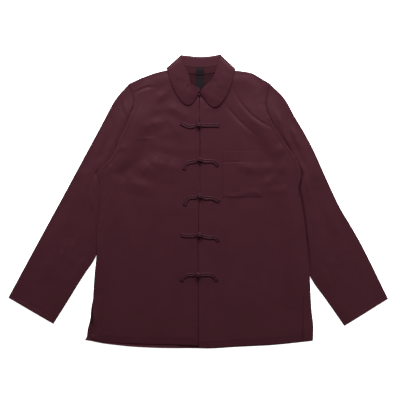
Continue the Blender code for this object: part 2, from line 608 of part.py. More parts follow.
back_panel = back()
front_left = front("front_left", SIDE_RIGHT, ARMHOLE_RIGHT, SHOULDER_RIGHT, HEM_RIGHT, 1, placket=False)
front_right = front("front_right", SIDE_LEFT, ARMHOLE_LEFT, SHOULDER_LEFT, HEM_LEFT, -1, placket=True)
sleeve("sleeve_left", SLEEVE_OUTER_RIGHT, SLEEVE_INNER_RIGHT, ARMHOLE_RIGHT, SLEEVE_TUCK_RIGHT)
sleeve("sleeve_right", SLEEVE_OUTER_LEFT, SLEEVE_INNER_LEFT, ARMHOLE_LEFT, SLEEVE_TUCK_LEFT)

bpy.context.view_layer.update()
over_fronts = height_finder(front_left, front_right)
stand_piece, leaf_piece = collar(over_fronts)
pocket(over_fronts)
throat_button(over_fronts)
for number, frog in enumerate(FROGS, 1):
    frog_knot(f"frog_knot_{number}", frog["knot"], over_fronts)
    frog_arm(f"frog_button_arm_{number}", frog["button"], frog["knot"], False, over_fronts)
    frog_arm(f"frog_loop_arm_{number}", frog["loop"], frog["knot"], True, over_fronts)

bpy.context.view_layer.update()
label(height_finder(back_panel, stand_piece))
centre_on_origin()
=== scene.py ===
import math

import bpy
import numpy as np
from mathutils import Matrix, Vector
from mathutils.bvhtree import BVHTree


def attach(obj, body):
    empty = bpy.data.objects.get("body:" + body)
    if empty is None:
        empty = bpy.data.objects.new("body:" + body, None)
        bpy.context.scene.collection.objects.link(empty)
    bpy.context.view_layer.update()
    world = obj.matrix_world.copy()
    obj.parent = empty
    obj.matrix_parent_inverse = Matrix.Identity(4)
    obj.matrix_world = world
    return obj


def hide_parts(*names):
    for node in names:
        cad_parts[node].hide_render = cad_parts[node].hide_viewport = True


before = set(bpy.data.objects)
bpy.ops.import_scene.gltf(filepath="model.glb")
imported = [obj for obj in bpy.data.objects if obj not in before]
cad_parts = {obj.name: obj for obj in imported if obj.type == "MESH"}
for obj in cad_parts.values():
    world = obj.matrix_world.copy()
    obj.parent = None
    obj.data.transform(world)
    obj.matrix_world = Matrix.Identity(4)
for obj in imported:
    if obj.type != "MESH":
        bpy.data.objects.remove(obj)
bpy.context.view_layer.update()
scene = bpy.context.scene

# Millimetres in the shirt's own frame: x from the centre front, y up from the hem, z up from the table.
# The outlines' Left and Right are as seen from above, but pieces are named for the wearer's own, so the
# left front lies at the seen Right. The shift puts it all on the CAD model.
shirtShift = np.array([3.5, -395.64, 0.0])

# the side seams above the vents, which the fronts share with the back
seamLeft = [(-287, 136), (-283, 195), (-277, 255), (-275, 320), (-267, 386), (-269, 444), (-276, 471)]
seamRight = [(300, 133), (298, 175), (296, 206), (287.5, 286), (279.5, 355), (271, 402), (266, 429),
        (273, 463), (272, 471)]

outlines = {
    "sideLeft": [(-295, 26), (-291, 46), (-287, 67), (-287, 103)] + seamLeft,
    "sideRight": [(306, 20), (307, 59), (302.5, 100)] + seamRight,
    "backSideLeft": [(-310, 22), (-306, 28), (-302, 51), (-295, 79), (-292, 111)] + seamLeft,
    "backSideRight": [(303, 19), (304, 59), (300.5, 100)] + seamRight,
    "armholeLeft": [(-276, 471), (-257, 490), (-238, 510), (-221, 541), (-215, 561), (-203, 584),
        (-193, 606), (-185, 629), (-174, 655), (-179, 686), (-190, 713)],
    "armholeRight": [(272, 471), (259, 510), (235, 543), (209, 582), (191, 612), (177, 650), (183, 690),
        (190, 713)],
    "shoulderLeft": [(-68, 750), (-92, 748.5), (-112, 744), (-153, 730), (-190, 713)],
    "shoulderRight": [(68, 750), (97, 748.5), (112, 747), (140, 742), (169, 726), (190, 713)],
    "frontNeck": [(0, 690), (18, 692), (36, 700), (52, 714), (63, 731), (68, 750)],
    "backNeck": [(0, 742), (22, 742), (45, 744.5), (68, 750)],
    "hemLeft": [(0, 8), (-60, 10), (-130, 11.5), (-200, 14), (-240, 16.5), (-270, 20), (-295, 26)],
    "hemRight": [(0, 1.5), (20, 1), (94, 5.5), (160, 9), (217, 13), (272, 18), (306, 20)],
    "hemBack": [(-310, 22), (-290, 18.5), (-263, 13), (-228, 8.5), (-185, 4), (-130, 1), (0, -1),
        (20, -1.5), (94, 2.5), (217, 9.5), (272, 15.5), (303, 19)],
    "centreFront": [(-1.5, 1.5), (-3, 200), (-3, 285), (-1.5, 310), (-1, 380), (2.5, 405), (2.5, 555),
        (1, 600), (1, 690)],
}


# Small helpers, all on numpy arrays

def rise(start, end, value):
    t = np.clip((np.asarray(value, float) - start) / (end - start), 0, 1)
    return t * t * (3 - 2 * t)


def bell(value, width):
    return np.exp(-((value / width) ** 2))


def hermite(t, start, startSlope, end, endSlope):
    return ((2 * t**3 - 3 * t**2 + 1) * start + (t**3 - 2 * t**2 + t) * startSlope
            + (3 * t**2 - 2 * t**3) * end + (t**3 - t**2) * endSlope)


def lengthsAlong(line):
    return np.concatenate([[0], np.cumsum(np.linalg.norm(np.diff(line, axis=0), axis=1))])


def curveAt(points, at):
    # places at these shares of the length of a smooth curve through the points
    p = np.array(points, float)
    knots = lengthsAlong(p)
    knots /= knots[-1]
    slopes = np.gradient(p, knots, axis=0)
    at = np.atleast_1d(np.asarray(at, float))
    i = np.clip(np.searchsorted(knots, at, side="right") - 1, 0, len(p) - 2)
    span = (knots[i + 1] - knots[i])[:, None]
    t = (at - knots[i])[:, None] / span
    return hermite(t, p[i], span * slopes[i], p[i + 1], span * slopes[i + 1])


def divided(points, count):
    return curveAt(points, np.linspace(0, 1, count + 1))


def unit(vectors):
    return vectors / np.linalg.norm(vectors, axis=-1, keepdims=True)


def movedOut(line, distance):
    along = unit(np.gradient(line, axis=0))
    return line + distance * np.stack([-along[:, 1], along[:, 0]], axis=1)


def xAt(outline, y):
    p = np.array(outline, float)
    return np.interp(y, p[:, 1], p[:, 0])


def bodyEdge(seen, y):
    return xAt(outlines["side" + seen] + outlines["armhole" + seen][1:], y)


def levelRow(xs, y):
    return np.stack([xs, np.full(len(xs), y)], axis=1)


def filledIn(inner, outer, bottom, top, across, up):
    # a grid of plan positions between four edges
    v, u = up[:, None, None], across[None, :, None]
    sides = (1 - v) * bottom[None] + v * top[None] + (1 - u) * inner[:, None] + u * outer[:, None]
    corners = ((1 - u) * (1 - v) * bottom[0] + u * (1 - v) * bottom[-1]
            + (1 - u) * v * top[0] + u * v * top[-1])
    return sides - corners


def apart(plan, edge):
    # how far each point of a grid is from the point of an edge in its own row or column
    return np.linalg.norm(plan - edge, axis=2)


def raised(plan, z):
    return np.concatenate([plan, z[..., None]], axis=2)


def evened(grid, rounds):
    # steps of an elliptic grid, so that its lines cross nowhere
    p = grid.copy()
    for _ in range(rounds):
        down, along = (p[2:, 1:-1] - p[:-2, 1:-1]) / 2, (p[1:-1, 2:] - p[1:-1, :-2]) / 2
        a, b, c = (down**2).sum(2), (down * along).sum(2), (along**2).sum(2)
        twist = (p[2:, 2:] - p[2:, :-2] - p[:-2, 2:] + p[:-2, :-2]) / 4
        p[1:-1, 1:-1] = (a[..., None] * (p[1:-1, 2:] + p[1:-1, :-2])
                + c[..., None] * (p[2:, 1:-1] + p[:-2, 1:-1])
                - 2 * b[..., None] * twist) / (2 * (a + c))[..., None]
    return p


def refined(rows, at):
    # rows of a grid at these places, counted in rows, on a smooth curve through them
    slopes = np.gradient(rows, axis=0)
    i = np.clip(np.asarray(at).astype(int), 0, len(rows) - 2)
    t = (np.asarray(at) - i).reshape(-1, *[1] * (rows.ndim - 1))
    return hermite(t, rows[i], slopes[i], rows[i + 1], slopes[i + 1])


def unevenness(x, y, wavelength, seed):
    # a soft random relief between about -1 and 1
    dice = np.random.default_rng(seed)
    total = np.zeros_like(x)
    for _ in range(9):
        angle, phase = dice.uniform(0, math.tau, 2)
        length = wavelength * dice.uniform(0.6, 1.7)
        total += np.sin((x * math.cos(angle) + y * math.sin(angle)) * math.tau / length + phase)
    return total / 4


# The folds that the photograph shows, and smaller ones

foldShape = {
    "samples": 33, "reach": 3.2, "flank": 1.75,  # how far a fold and its flanks reach, in widths
    "crestRound": 0.01, "crestPower": 1.12, "endFade": 0.7,
    "waves": ((0.16, 9.5, 1.7), (0.08, 23, 1)),  # amount, rate, step from one fold to the next
}


def foldHeight(folds, x, y):
    # each fold is an uneven crease along a bent line, with flat flanks as pressed silk has, steeper on
    # one side and fading at its ends
    f = foldShape
    t = np.linspace(0, 1, f["samples"])
    total = np.zeros_like(x)
    for number, (x0, y0, x1, y1, x2, y2, width, height, lean) in enumerate(folds):
        lineX, lineY = [(1 - t) ** 2 * a + 2 * t * (1 - t) * b + t**2 * c
                for a, b, c in ((x0, x1, x2), (y0, y1, y2))]
        reach = f["reach"] * width
        box = ((x > lineX.min() - reach) & (x < lineX.max() + reach)
               & (y > lineY.min() - reach) & (y < lineY.max() + reach))
        if not box.any():
            continue
        px, py = x[box], y[box]
        away = np.hypot(px[:, None] - lineX, py[:, None] - lineY)
        nearest = away.argmin(axis=1)
        alongX, alongY = np.gradient(lineX)[nearest], np.gradient(lineY)[nearest]
        side = np.sign(alongX * (py - lineY[nearest]) - alongY * (px - lineX[nearest]))
        flank = f["flank"] * (width * (1 + lean * side))
        where = np.clip(t[nearest], 0.03, 0.97)
        uneven = 1 + sum(amount * np.sin(rate * where + step * number) for amount, rate, step in f["waves"])
        crest = np.clip(1.1 - np.sqrt((away.min(axis=1) / flank) ** 2 + f["crestRound"]), 0, 1)
        total[box] += height * uneven * np.sin(math.pi * where) ** f["endFade"] * crest ** f["crestPower"]
    return total


frontFolds = [
    # x0, y0, x1, y1, x2, y2, width, height, lean: how much gentler it is on the left of its direction
    (93, 697, 131, 619, 200, 595, 3.0, -2.0, -0.55),
    (84, 689, 121, 606, 195, 583, 8.0, 0.3, 0),
    (67, 663, 102, 615, 163, 568, 2.9, -1.8, -0.55),
    (58, 652, 95, 604, 159, 554, 7.5, 0.35, 0),
    (150, 700, 172, 668, 178, 622, 12, 1.4, -0.2),
    (-195, 670, -150, 716, -114, 702, 2.5, -1.9, -0.45),
    (-120, 668, -97, 680, -80, 704, 9, 2.3, 0),
    (-92, 657, -60, 641, -26, 620, 10, 1.8, 0),
    (-149, 588, -132, 610, -88, 611, 11, 2.4, -0.2),
    (-175, 563, -146, 566, -118, 563, 2.8, 0.9, 0.2),
    (-159, 470, -138, 487, -112, 518, 17, 3.2, -0.25),
    (-128, 501, -92, 495, -46, 481, 20, 3.6, -0.23),
    (-212, 455, -176, 440, -114, 429, 12.5, 2.7, -0.16),
    (-208, 474, -190, 466, -170, 447, 7, 1.2, 0.1),
    (-220, 548, -208, 538, -194, 541, 8, 1.6, 0.1),
    (-247, 512, -232, 462, -240, 380, 4.6, 1.5, 0.3),
    (-229, 530, -220, 470, -226, 396, 5.0, 1.4, 0.3),
    (-258, 474, -252, 420, -257, 344, 4.6, 1.4, 0.2),
    (-212, 440, -209, 396, -214, 352, 6, 0.7, 0.2),
    (234, 470, 231, 410, 226, 318, 5.5, 1.7, -0.3),
    (250, 440, 247, 390, 243, 330, 5.0, 1.2, -0.2),
    (206, 428, 203, 380, 199, 306, 6.5, 1.1, -0.2),
    (170, 438, 208, 456, 232, 508, 12, 2.6, -0.25),
    (166, 490, 184, 484, 205, 490, 9, 1.6, 0),
    (198, 529, 216, 530, 236, 550, 9, 1.6, 0),
    (178, 424, 206, 420, 240, 432, 8, 1.2, 0),
    (72, 412, 100, 404, 124, 420, 5.5, 1.7, 0.1),
    (116, 414, 142, 424, 172, 414, 5.5, 1.5, 0.1),
    (104, 502, 118, 482, 196, 480, 11, 2.2, 0),
    (10, 648, 40, 640, 62, 660, 9, 1.0, 0.3),
    # smaller ones
    (-60, 640, -96, 648, -136, 640, 7, 0.6, 0),
    (-46, 576, -86, 588, -120, 570, 9, 0.5, 0.2),
    (-40, 452, -84, 462, -120, 452, 9, 0.5, 0),
    (-70, 380, -120, 372, -166, 388, 12, 0.5, 0),
    (-196, 330, -206, 270, -200, 214, 10, 0.7, 0.2),
    (-112, 300, -118, 240, -108, 176, 14, 0.5, 0),
    (-52, 240, -60, 190, -56, 132, 12, 0.4, 0),
    (-238, 210, -242, 150, -250, 96, 9, 0.6, -0.2),
    (-160, 150, -168, 110, -164, 66, 12, 0.4, 0),
    (48, 470, 52, 430, 46, 390, 9, 0.5, 0),
    (60, 352, 66, 300, 60, 240, 12, 0.5, 0.2),
    (128, 372, 134, 310, 128, 250, 14, 0.6, 0),
    (182, 280, 190, 220, 184, 160, 12, 0.6, 0.2),
    (236, 250, 242, 196, 240, 140, 10, 0.7, 0),
    (96, 190, 102, 140, 98, 90, 14, 0.4, 0),
    (222, 118, 250, 110, 272, 112, 5, 0.6, 0.4),
]
backFolds = [
    # the table side isn't in the photograph: a few low ones, of the same kind
    (-150, 560, -60, 520, 40, 540, 10, 0.8, 0.2),
    (90, 600, 130, 520, 150, 430, 10, 0.9, 0),
    (-200, 420, -190, 330, -205, 240, 10, 0.8, 0),
    (60, 400, 0, 370, -70, 380, 12, 0.6, 0),
    (200, 330, 205, 250, 196, 170, 10, 0.8, 0.2),
    (-60, 200, 0, 180, 80, 196, 12, 0.6, 0),
    (-120, 640, -60, 600, -30, 540, 9, 0.7, 0.3),
    (120, 150, 150, 110, 210, 100, 9, 0.6, 0),
    (-90, 120, -120, 80, -180, 60, 9, 0.5, 0),
]
collarFolds = [
    (-19, 716, -27, 708, -33, 700, 3.2, -1.3, 0),
    (-30, 715, -36, 706, -42, 700, 5.0, 0.7, 0),
    (32, 721.5, 38, 721, 46, 716, 3.0, -1.2, 0),
    (48, 716, 58, 706, 72, 702, 8, 0.9, 0.2),
    (-64, 716, -56, 700, -44, 684, 10, 0.8, 0.2),
    (-48, 746, -60, 730, -66, 712, 8, 0.6, 0),
    (58, 742, 66, 730, 80, 716, 8, 0.7, 0),
    (22, 684, 36, 672, 52, 670, 8, 0.6, 0),
]
sleeveFolds = [
    (-210, 670, -210, 646, -201, 624, 3.2, -2.0, 0),
    (-203, 664, -202, 646, -196, 628, 4.5, 1.2, 0),
    (-226, 664, -232, 628, -224, 592, 7, 0.9, 0.3),
    (-256, 604, -262, 540, -300, 460, 10, 1.5, 0.2),
    (-240, 560, -252, 520, -276, 486, 7, 1.0, 0),
    (-288, 442, -296, 400, -281, 352, 5.5, 1.8, 0.3),
    (-304, 452, -314, 410, -306, 366, 6, 1.0, 0),
    (-334, 296, -352, 262, -344, 224, 5.5, 1.5, 0.2),
    (-352, 290, -372, 258, -378, 228, 6, 1.2, 0.2),
    (-400, 240, -424, 200, -446, 166, 10, 0.9, 0),
    (-300, 250, -326, 214, -352, 172, 7, 0.7, 0),
    (-352, 380, -384, 320, -420, 272, 12, 0.9, 0.2),
    (212, 626, 236, 574, 262, 506, 6.0, 3.4, -0.2),
    (204, 648, 214, 618, 232, 588, 5, 1.4, 0),
    (244, 606, 260, 560, 288, 500, 7, 2.6, 0.2),
    (276, 560, 300, 500, 322, 446, 12, 2.0, 0.2),
    (280, 496, 290, 456, 292, 408, 5, 1.4, 0.2),
    (330, 424, 352, 352, 384, 280, 11, 1.3, 0.2),
    (300, 372, 318, 320, 342, 274, 9, 0.8, 0),
    (344, 250, 372, 206, 398, 168, 10, 0.9, -0.2),
    (406, 270, 432, 222, 456, 180, 10, 0.8, 0),
    (312, 236, 336, 196, 360, 160, 7, 0.7, 0),
]

layers = {
    "wall": 1.1, "seamLap": 2.5, "placketWidth": 32, "placketLift": 1.9,
    "edgeGap": 0.8,  # front over back where they are sewn together, and the air between them elsewhere
    "loft": 2.2, "loftReach": 30, "armholeLoft": 2.2,
    "sleeveHeight": 4.6, "sleeveEndHeight": 2.9,
    "tuckLift": 5.2,  # the body lies on the sleeves' inner edges
    "tuckReach": (34, 79), "tuckBottom": {"Left": 251, "Right": 196}, "tuckTop": (600, 690),
    "collarLift": 1.9,  # and on the turned-down collar's back
    "collarRise": (688, 734), "collarSides": (112, 145),
}


def backUnderside(x, y):
    collar = rise(*layers["collarRise"], y) * (1 - rise(*layers["collarSides"], np.abs(x)))
    lift = layers["collarLift"] * collar
    for seen, sign in (("Left", -1), ("Right", 1)):
        inward = sign * (bodyEdge(seen, y) - x)
        low = layers["tuckBottom"][seen]
        tuck = (1 - rise(*layers["tuckReach"], inward)) * rise(low - 112, low - 12, y)
        lift = np.maximum(lift, layers["tuckLift"] * tuck * (1 - rise(*layers["tuckTop"], y)))
    return lift + foldHeight(backFolds, x, y)


def frontUnderside(x, y, toEdge, atArmhole):
    air = layers["edgeGap"] + layers["loft"] * rise(0, layers["loftReach"], toEdge)
    air = np.maximum(air, layers["edgeGap"] + layers["armholeLoft"] * atArmhole)
    folded = foldHeight(frontFolds, x, y) + 0.35 * unevenness(x, y, 110, 3) + 0.12 * unevenness(x, y, 34, 4)
    folded = folded * rise(2, 26, toEdge)
    return backUnderside(x, y) + layers["wall"] + np.maximum(air + folded, layers["edgeGap"])


# Materials

def linear(hexColour):
    # an sRGB hex colour as Blender's linear values
    values = [int(hexColour[i : i + 2], 16) / 255 for i in (1, 3, 5)]
    return tuple(v / 12.92 if v <= 0.04045 else ((v + 0.055) / 1.055) ** 2.4 for v in values) + (1,)


def addNode(tree, kind, settings=None, links=None):
    # a node with its settings, and links given as {its input: another node's output}
    node = tree.nodes.new(kind)
    for name, value in (settings or {}).items():
        if isinstance(name, int) or name in node.inputs:
            node.inputs[name].default_value = value
        else:
            setattr(node, name, value)
    for name, output in (links or {}).items():
        tree.links.new(output, node.inputs[name])
    return node


clothLook = {
    "shade": "#2A1117",  # deep burgundy
    "worn": "#31151C",  # a little lighter where it has rubbed
    "roughness": 0.46,
    "threadSpacing": 0.9,  # mm: the real one is about 0.2, drawn coarser so that it shows close up
    "slubLength": 14,
    "sheen": 0.06,
    "sheenTint": "#8A5560",
    "specular": 0.1,
    "highlight": "#FFC4CC",  # dyed fibres tint their highlights
    "bump": 0.00012,
}


def wovenCloth(name, look):
    # a plain weave of fine shiny yarn, pressed: soft broad highlights, a faint grain of crossing threads
    material = bpy.data.materials.new(name)
    material.use_nodes = True
    tree = material.node_tree
    shader = tree.nodes["Principled BSDF"]
    place = addNode(tree, "ShaderNodeTexCoord")
    scaled = addNode(tree, "ShaderNodeMapping", {"Scale": (1000, 1000, 1000)},
            {"Vector": place.outputs["Object"]})
    where = {"Vector": scaled.outputs["Vector"]}
    cloudy = addNode(tree, "ShaderNodeTexNoise", {"Scale": 0.012, "Detail": 3.0, "Roughness": 0.55}, where)
    stretched = addNode(tree, "ShaderNodeMapping", {"Scale": (1.0, 1 / look["slubLength"], 1.0)}, where)
    slubs = addNode(tree, "ShaderNodeTexNoise", {"Scale": 0.9, "Detail": 2.0, "Roughness": 0.6},
            {"Vector": stretched.outputs["Vector"]})
    blend = addNode(tree, "ShaderNodeMix", {"data_type": "RGBA", 6: linear(look["shade"]),
            7: linear(look["worn"])}, {0: cloudy.outputs["Fac"]})
    rough = addNode(tree, "ShaderNodeMapRange",
            {"To Min": look["roughness"] - 0.05, "To Max": look["roughness"] + 0.07},
            {"Value": slubs.outputs["Fac"]})
    threads = {"wave_type": "BANDS", "Scale": 1 / look["threadSpacing"] / 3.18, "Distortion": 0.6,
            "Detail": 1.0}
    warp, weft = [addNode(tree, "ShaderNodeTexWave", {**threads, "bands_direction": way}, where)
            for way in "XY"]
    woven = addNode(tree, "ShaderNodeMath", {"operation": "MULTIPLY"},
            {0: warp.outputs["Fac"], 1: weft.outputs["Fac"]})
    grain = addNode(tree, "ShaderNodeMath", {"operation": "MULTIPLY_ADD", 1: 0.6},
            {0: slubs.outputs["Fac"], 2: woven.outputs[0]})
    bump = addNode(tree, "ShaderNodeBump", {"Strength": 0.22, "Distance": look["bump"]},
            {"Height": grain.outputs[0]})
    for socket, output in {"Base Color": blend.outputs[2], "Roughness": rough.outputs["Result"],
            "Normal": bump.outputs["Normal"]}.items():
        tree.links.new(output, shader.inputs[socket])
    for socket, value in {"IOR": 1.5, "Metallic": 0, "Specular IOR Level": look["specular"],
            "Specular Tint": linear(look["highlight"]), "Sheen Weight": look["sheen"],
            "Sheen Roughness": 0.35, "Sheen Tint": linear(look["sheenTint"])}.items():
        shader.inputs[socket].default_value = value
    return material


looks = {
    "pressed_silky_plain_weave": {},
    # the inside of the cloth is duller than its face, and it is given a darker colour than that alone:
    # painted shade for the neck opening, and for the vent's gap and the armhole's groove where it is used
    "silky_cloth_reverse_and_painted_shade": {"shade": "#1F0C11", "worn": "#241016", "roughness": 0.6, "sheen": 0.03,
        "specular": 0.05},
    # the same cloth cut on the bias and rolled into cord, painted darker than the cloth as shade that tones
    # down its highlights
    "rolled_bias_silky_cord_painted_darker": {"shade": "#251015", "worn": "#2D131A", "roughness": 0.48,
        "threadSpacing": 0.7, "slubLength": 5},
    # a tight twist that shows as fine dashes, a trace lighter than the cloth
    "polyester_sewing_thread": {"shade": "#2A141A", "worn": "#30171E", "roughness": 0.5, "sheen": 0.2,
        "threadSpacing": 0.3, "slubLength": 2},
    # a dense black tape, matter than the cloth round it
    "woven_damask_label_tape": {"shade": "#0C0B0D", "worn": "#121013", "roughness": 0.62, "sheen": 0.03,
        "specular": 0.08, "threadSpacing": 0.6, "slubLength": 4},
}
silkyCloth, reverseAndShadeCloth, cordClothPaintedDarker, sewingThread, labelTape = [
    wovenCloth(name, {**clothLook, **own}) for name, own in looks.items()]
slotMaterials = {"silky_cloth": silkyCloth, "silky_cord": cordClothPaintedDarker, "label_tape": labelTape}


# Making pieces

def newPiece(name, points, faces=None, slot="silky_cloth", material=None, ofSolid=True):
    # a piece from a grid of points, or from points and faces, mostly in place of the solid of its name
    mesh = bpy.data.meshes.new(name)
    place = (np.asarray(points, float).reshape(-1, 3) + shirtShift) * 0.001
    mesh.from_pydata(place.tolist(), [], faces or gridFaces(*points.shape[:2]))
    mesh.update()
    mesh.shade_smooth()
    piece = bpy.data.objects.new(name, mesh)
    scene.collection.objects.link(piece)
    mesh.materials.append(material or slotMaterials[slot])
    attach(piece, "root")
    if ofSolid:
        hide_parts(name)
    return piece


def gridFaces(rows, columns, closed=False):
    faces = []
    for j in range(rows - 1):
        for i in range(columns if closed else columns - 1):
            k = (i + 1) % columns
            faces.append((j * columns + i, j * columns + k, (j + 1) * columns + k, (j + 1) * columns + i))
    return faces


def tubeFaces(rows, columns):
    last = (rows - 1) * columns
    closing = [tuple(range(columns))[::-1], tuple(last + i for i in range(columns))]
    return gridFaces(rows, columns, closed=True) + closing


def turned(centre, profile, sides):
    # points and faces of a shape turned on an upright axis, from its radii and heights, top first
    spin = np.arange(sides) * math.tau / sides
    rings = [np.stack([centre[0] + radius * np.cos(spin), centre[1] + radius * np.sin(spin),
            np.full(sides, z)], axis=1) for radius, z in profile[::-1]]
    return np.concatenate(rings), tubeFaces(len(rings), sides)


def thicken(piece, wall, offset, rim=0.35):
    # the cloth's thickness, with its cut or folded edges rounded
    solid = piece.modifiers.new("wall", "SOLIDIFY")
    solid.thickness = wall * 0.001
    solid.offset = offset
    soft = piece.modifiers.new("rim", "BEVEL")
    soft.width = rim * 0.001
    soft.segments = 2
    soft.limit_method = "ANGLE"
    soft.angle_limit = math.radians(50)
    soft.use_clamp_overlap = True


def secondCloth(piece, material, where):
    # another cloth on the faces where this grid says so
    piece.data.materials.append(material)
    piece.data.polygons.foreach_set("material_index", where.ravel().astype(int))


def heightOver(*pieces):
    bpy.context.view_layer.update()
    graph = bpy.context.evaluated_depsgraph_get()
    trees = [BVHTree.FromObject(piece, graph) for piece in pieces]

    def highest(x, y, around=0.0):
        found = 0.0
        for dx, dy in ((0, 0), (around, 0), (-around, 0), (0, around), (0, -around)):
            start = Vector(((x + dx + shirtShift[0]) * 0.001, (y + dy + shirtShift[1]) * 0.001, 0.1))
            for tree in trees:
                hit = tree.ray_cast(start, Vector((0, 0, -1)))[0]
                if hit is not None:
                    found = max(found, hit.z * 1000)
            if around == 0:
                break
        return found

    return highest


def ringsRound(path, radius, side, up, sides):
    # circles of points round a path, with the two directions that each circle lies in
    angle = np.arange(sides) * math.tau / sides
    radius = np.broadcast_to(radius, len(path))[:, None, None]
    return path[:, None] + radius * (np.cos(angle)[None, :, None] * side[:, None]
            + np.sin(angle)[None, :, None] * up[:, None])


def cordMesh(path, radius, sides, flatten=1.0):
    # points and faces of a round cord along a path in mm, a little flattened where it is pressed
    along = unit(np.gradient(path, axis=0))
    side = unit(np.cross(along, [0, 0, 1.0]))
    rings = ringsRound(path, radius, side, flatten * np.cross(side, along), sides)
    return rings.reshape(-1, 3), tubeFaces(len(path), sides)


# The body

panelGrid = {
    "underarm": 0.66, "sideLength": 460.0,  # the share of the rows below the underarm, and its mm
    "hemRows": [0, 0.6, 2, 6, 10, 11.2, 12, 12.8, 14, 17], "aboveHem": 21,
    "below": 104, "armKnots": 92, "neck": 20, "shoulder": 62, "placket": 9, "placketTop": 690.5,
    "backNeck": 14, "backShoulder": 22,
    "besideCentre": [0.5, 1.1, 1.7, 2.3, 2.9, 3.7],
    "besideVent": [29.5, 28.5, 27.5, 26.5, 25.5, 24.5, 23.5, 22.5, 21.5, 20.5],
    "besideEdge": [9, 7, 5.5, 4.2, 3, 2, 1],
}

frontShape = {
    "armholeStart": (0.585, 0.7),
    "rolledEdge": 1.4,  # the front turns down into the armhole seam
    "centreRidge": (1.6, 9),  # four layers of cloth lie in each front's centre edge: height, width
    "centreGroove": (1.2, 3.0),
    "underlapSlope": (38, 74),
    "ventStep": 0.5, "ventGroove": 1.15, "ventTop": (132, 138),
    "curl": (4.2, 84, 20, 9),  # the right front's lifted side edge: height, y, length, width
    "hem": 12, "hemStep": 0.35, "hemDip": (0.32, 1.1), "hemRipple": (0.22, 12),
    "pucker": (0.3, 4, 8),  # along armhole and shoulder: height, distance from the seam, width
}

# where a vent's facing is stitched: x and y of both ends, and how deep the stitches pull
ventLine = {"left": ([278.4, 278.4], [30, 136], 2.2), "right": ([-268, -261], [30, 136], 0.5)}


def panelShares():
    # rows close together at the hem's fold and at its line of stitches, then even ones
    length, underarm = panelGrid["sideLength"], panelGrid["underarm"]
    even = np.linspace(panelGrid["aboveHem"] / length * underarm, underarm, panelGrid["below"])
    below = np.concatenate([np.array(panelGrid["hemRows"]) / length * underarm, even])
    above = np.linspace(underarm, 1, panelGrid["armKnots"] + 1)[1:]
    return below, above


def outerEdge(kind, seen, lap):
    below = panelShares()[0]
    sign = 1 if seen == "Left" else -1
    armEdge = movedOut(divided(outlines["armhole" + seen], panelGrid["armKnots"]), sign * lap)
    return np.concatenate([curveAt(outlines[kind + seen], below / panelGrid["underarm"]), armEdge[1:]])


def frontPlan(seen, sign, placket):
    # a front's places in plan, rows from the hem up and columns from the centre out
    g = panelGrid
    up = np.concatenate(panelShares())
    outer = outerEdge("side", seen, layers["seamLap"])
    top = np.concatenate([divided(outlines["frontNeck"], g["neck"]) * [sign, 1],
            divided(outlines["shoulder" + seen], g["shoulder"])[1:]])
    bottom = divided(outlines["hem" + seen], g["neck"] + g["shoulder"])
    top[-1], bottom[-1] = outer[-1], outer[0]
    beside = sign * np.array(g["besideCentre"])
    top, bottom = [np.concatenate([e[:1], levelRow(beside, e[0][1]), e[1:]]) for e in (top, bottom)]
    # close columns along the line where a vent's facing is stitched, and at the armhole's edge
    across = np.linspace(0, 1, len(top))
    vents, edges = [1 - np.array(g[name]) / (abs(bottom[-1][0]) + 2) for name in ("besideVent", "besideEdge")]
    kept = (across < vents[0] - 0.004) | ((across > vents[-1] + 0.004) & (across < edges[0] - 0.004))
    across = np.concatenate([across[kept], vents, edges, [1]])
    across.sort()
    share = np.linspace(0, 1, len(top))
    top, bottom = [np.stack([np.interp(across, share, e[:, k]) for k in range(2)], axis=1)
            for e in (top, bottom)]
    past = 0
    if placket:
        lap = -sign * np.linspace(layers["placketWidth"], 0, g["placket"] + 1)[:-1]
        top = np.concatenate([levelRow(lap, g["placketTop"]), top])
        bottom = np.concatenate([levelRow(lap, bottom[0][1]), bottom])
        past = lap[0]
    lineY = bottom[0][1] + (top[0][1] - bottom[0][1]) * up
    inner = np.stack([xAt(outlines["centreFront"], lineY) + past, lineY], axis=1)
    top[0][0], bottom[0][0] = inner[-1][0], inner[0][0]
    return filledIn(inner, outer, bottom, top, np.linspace(0, 1, len(top)), up), up


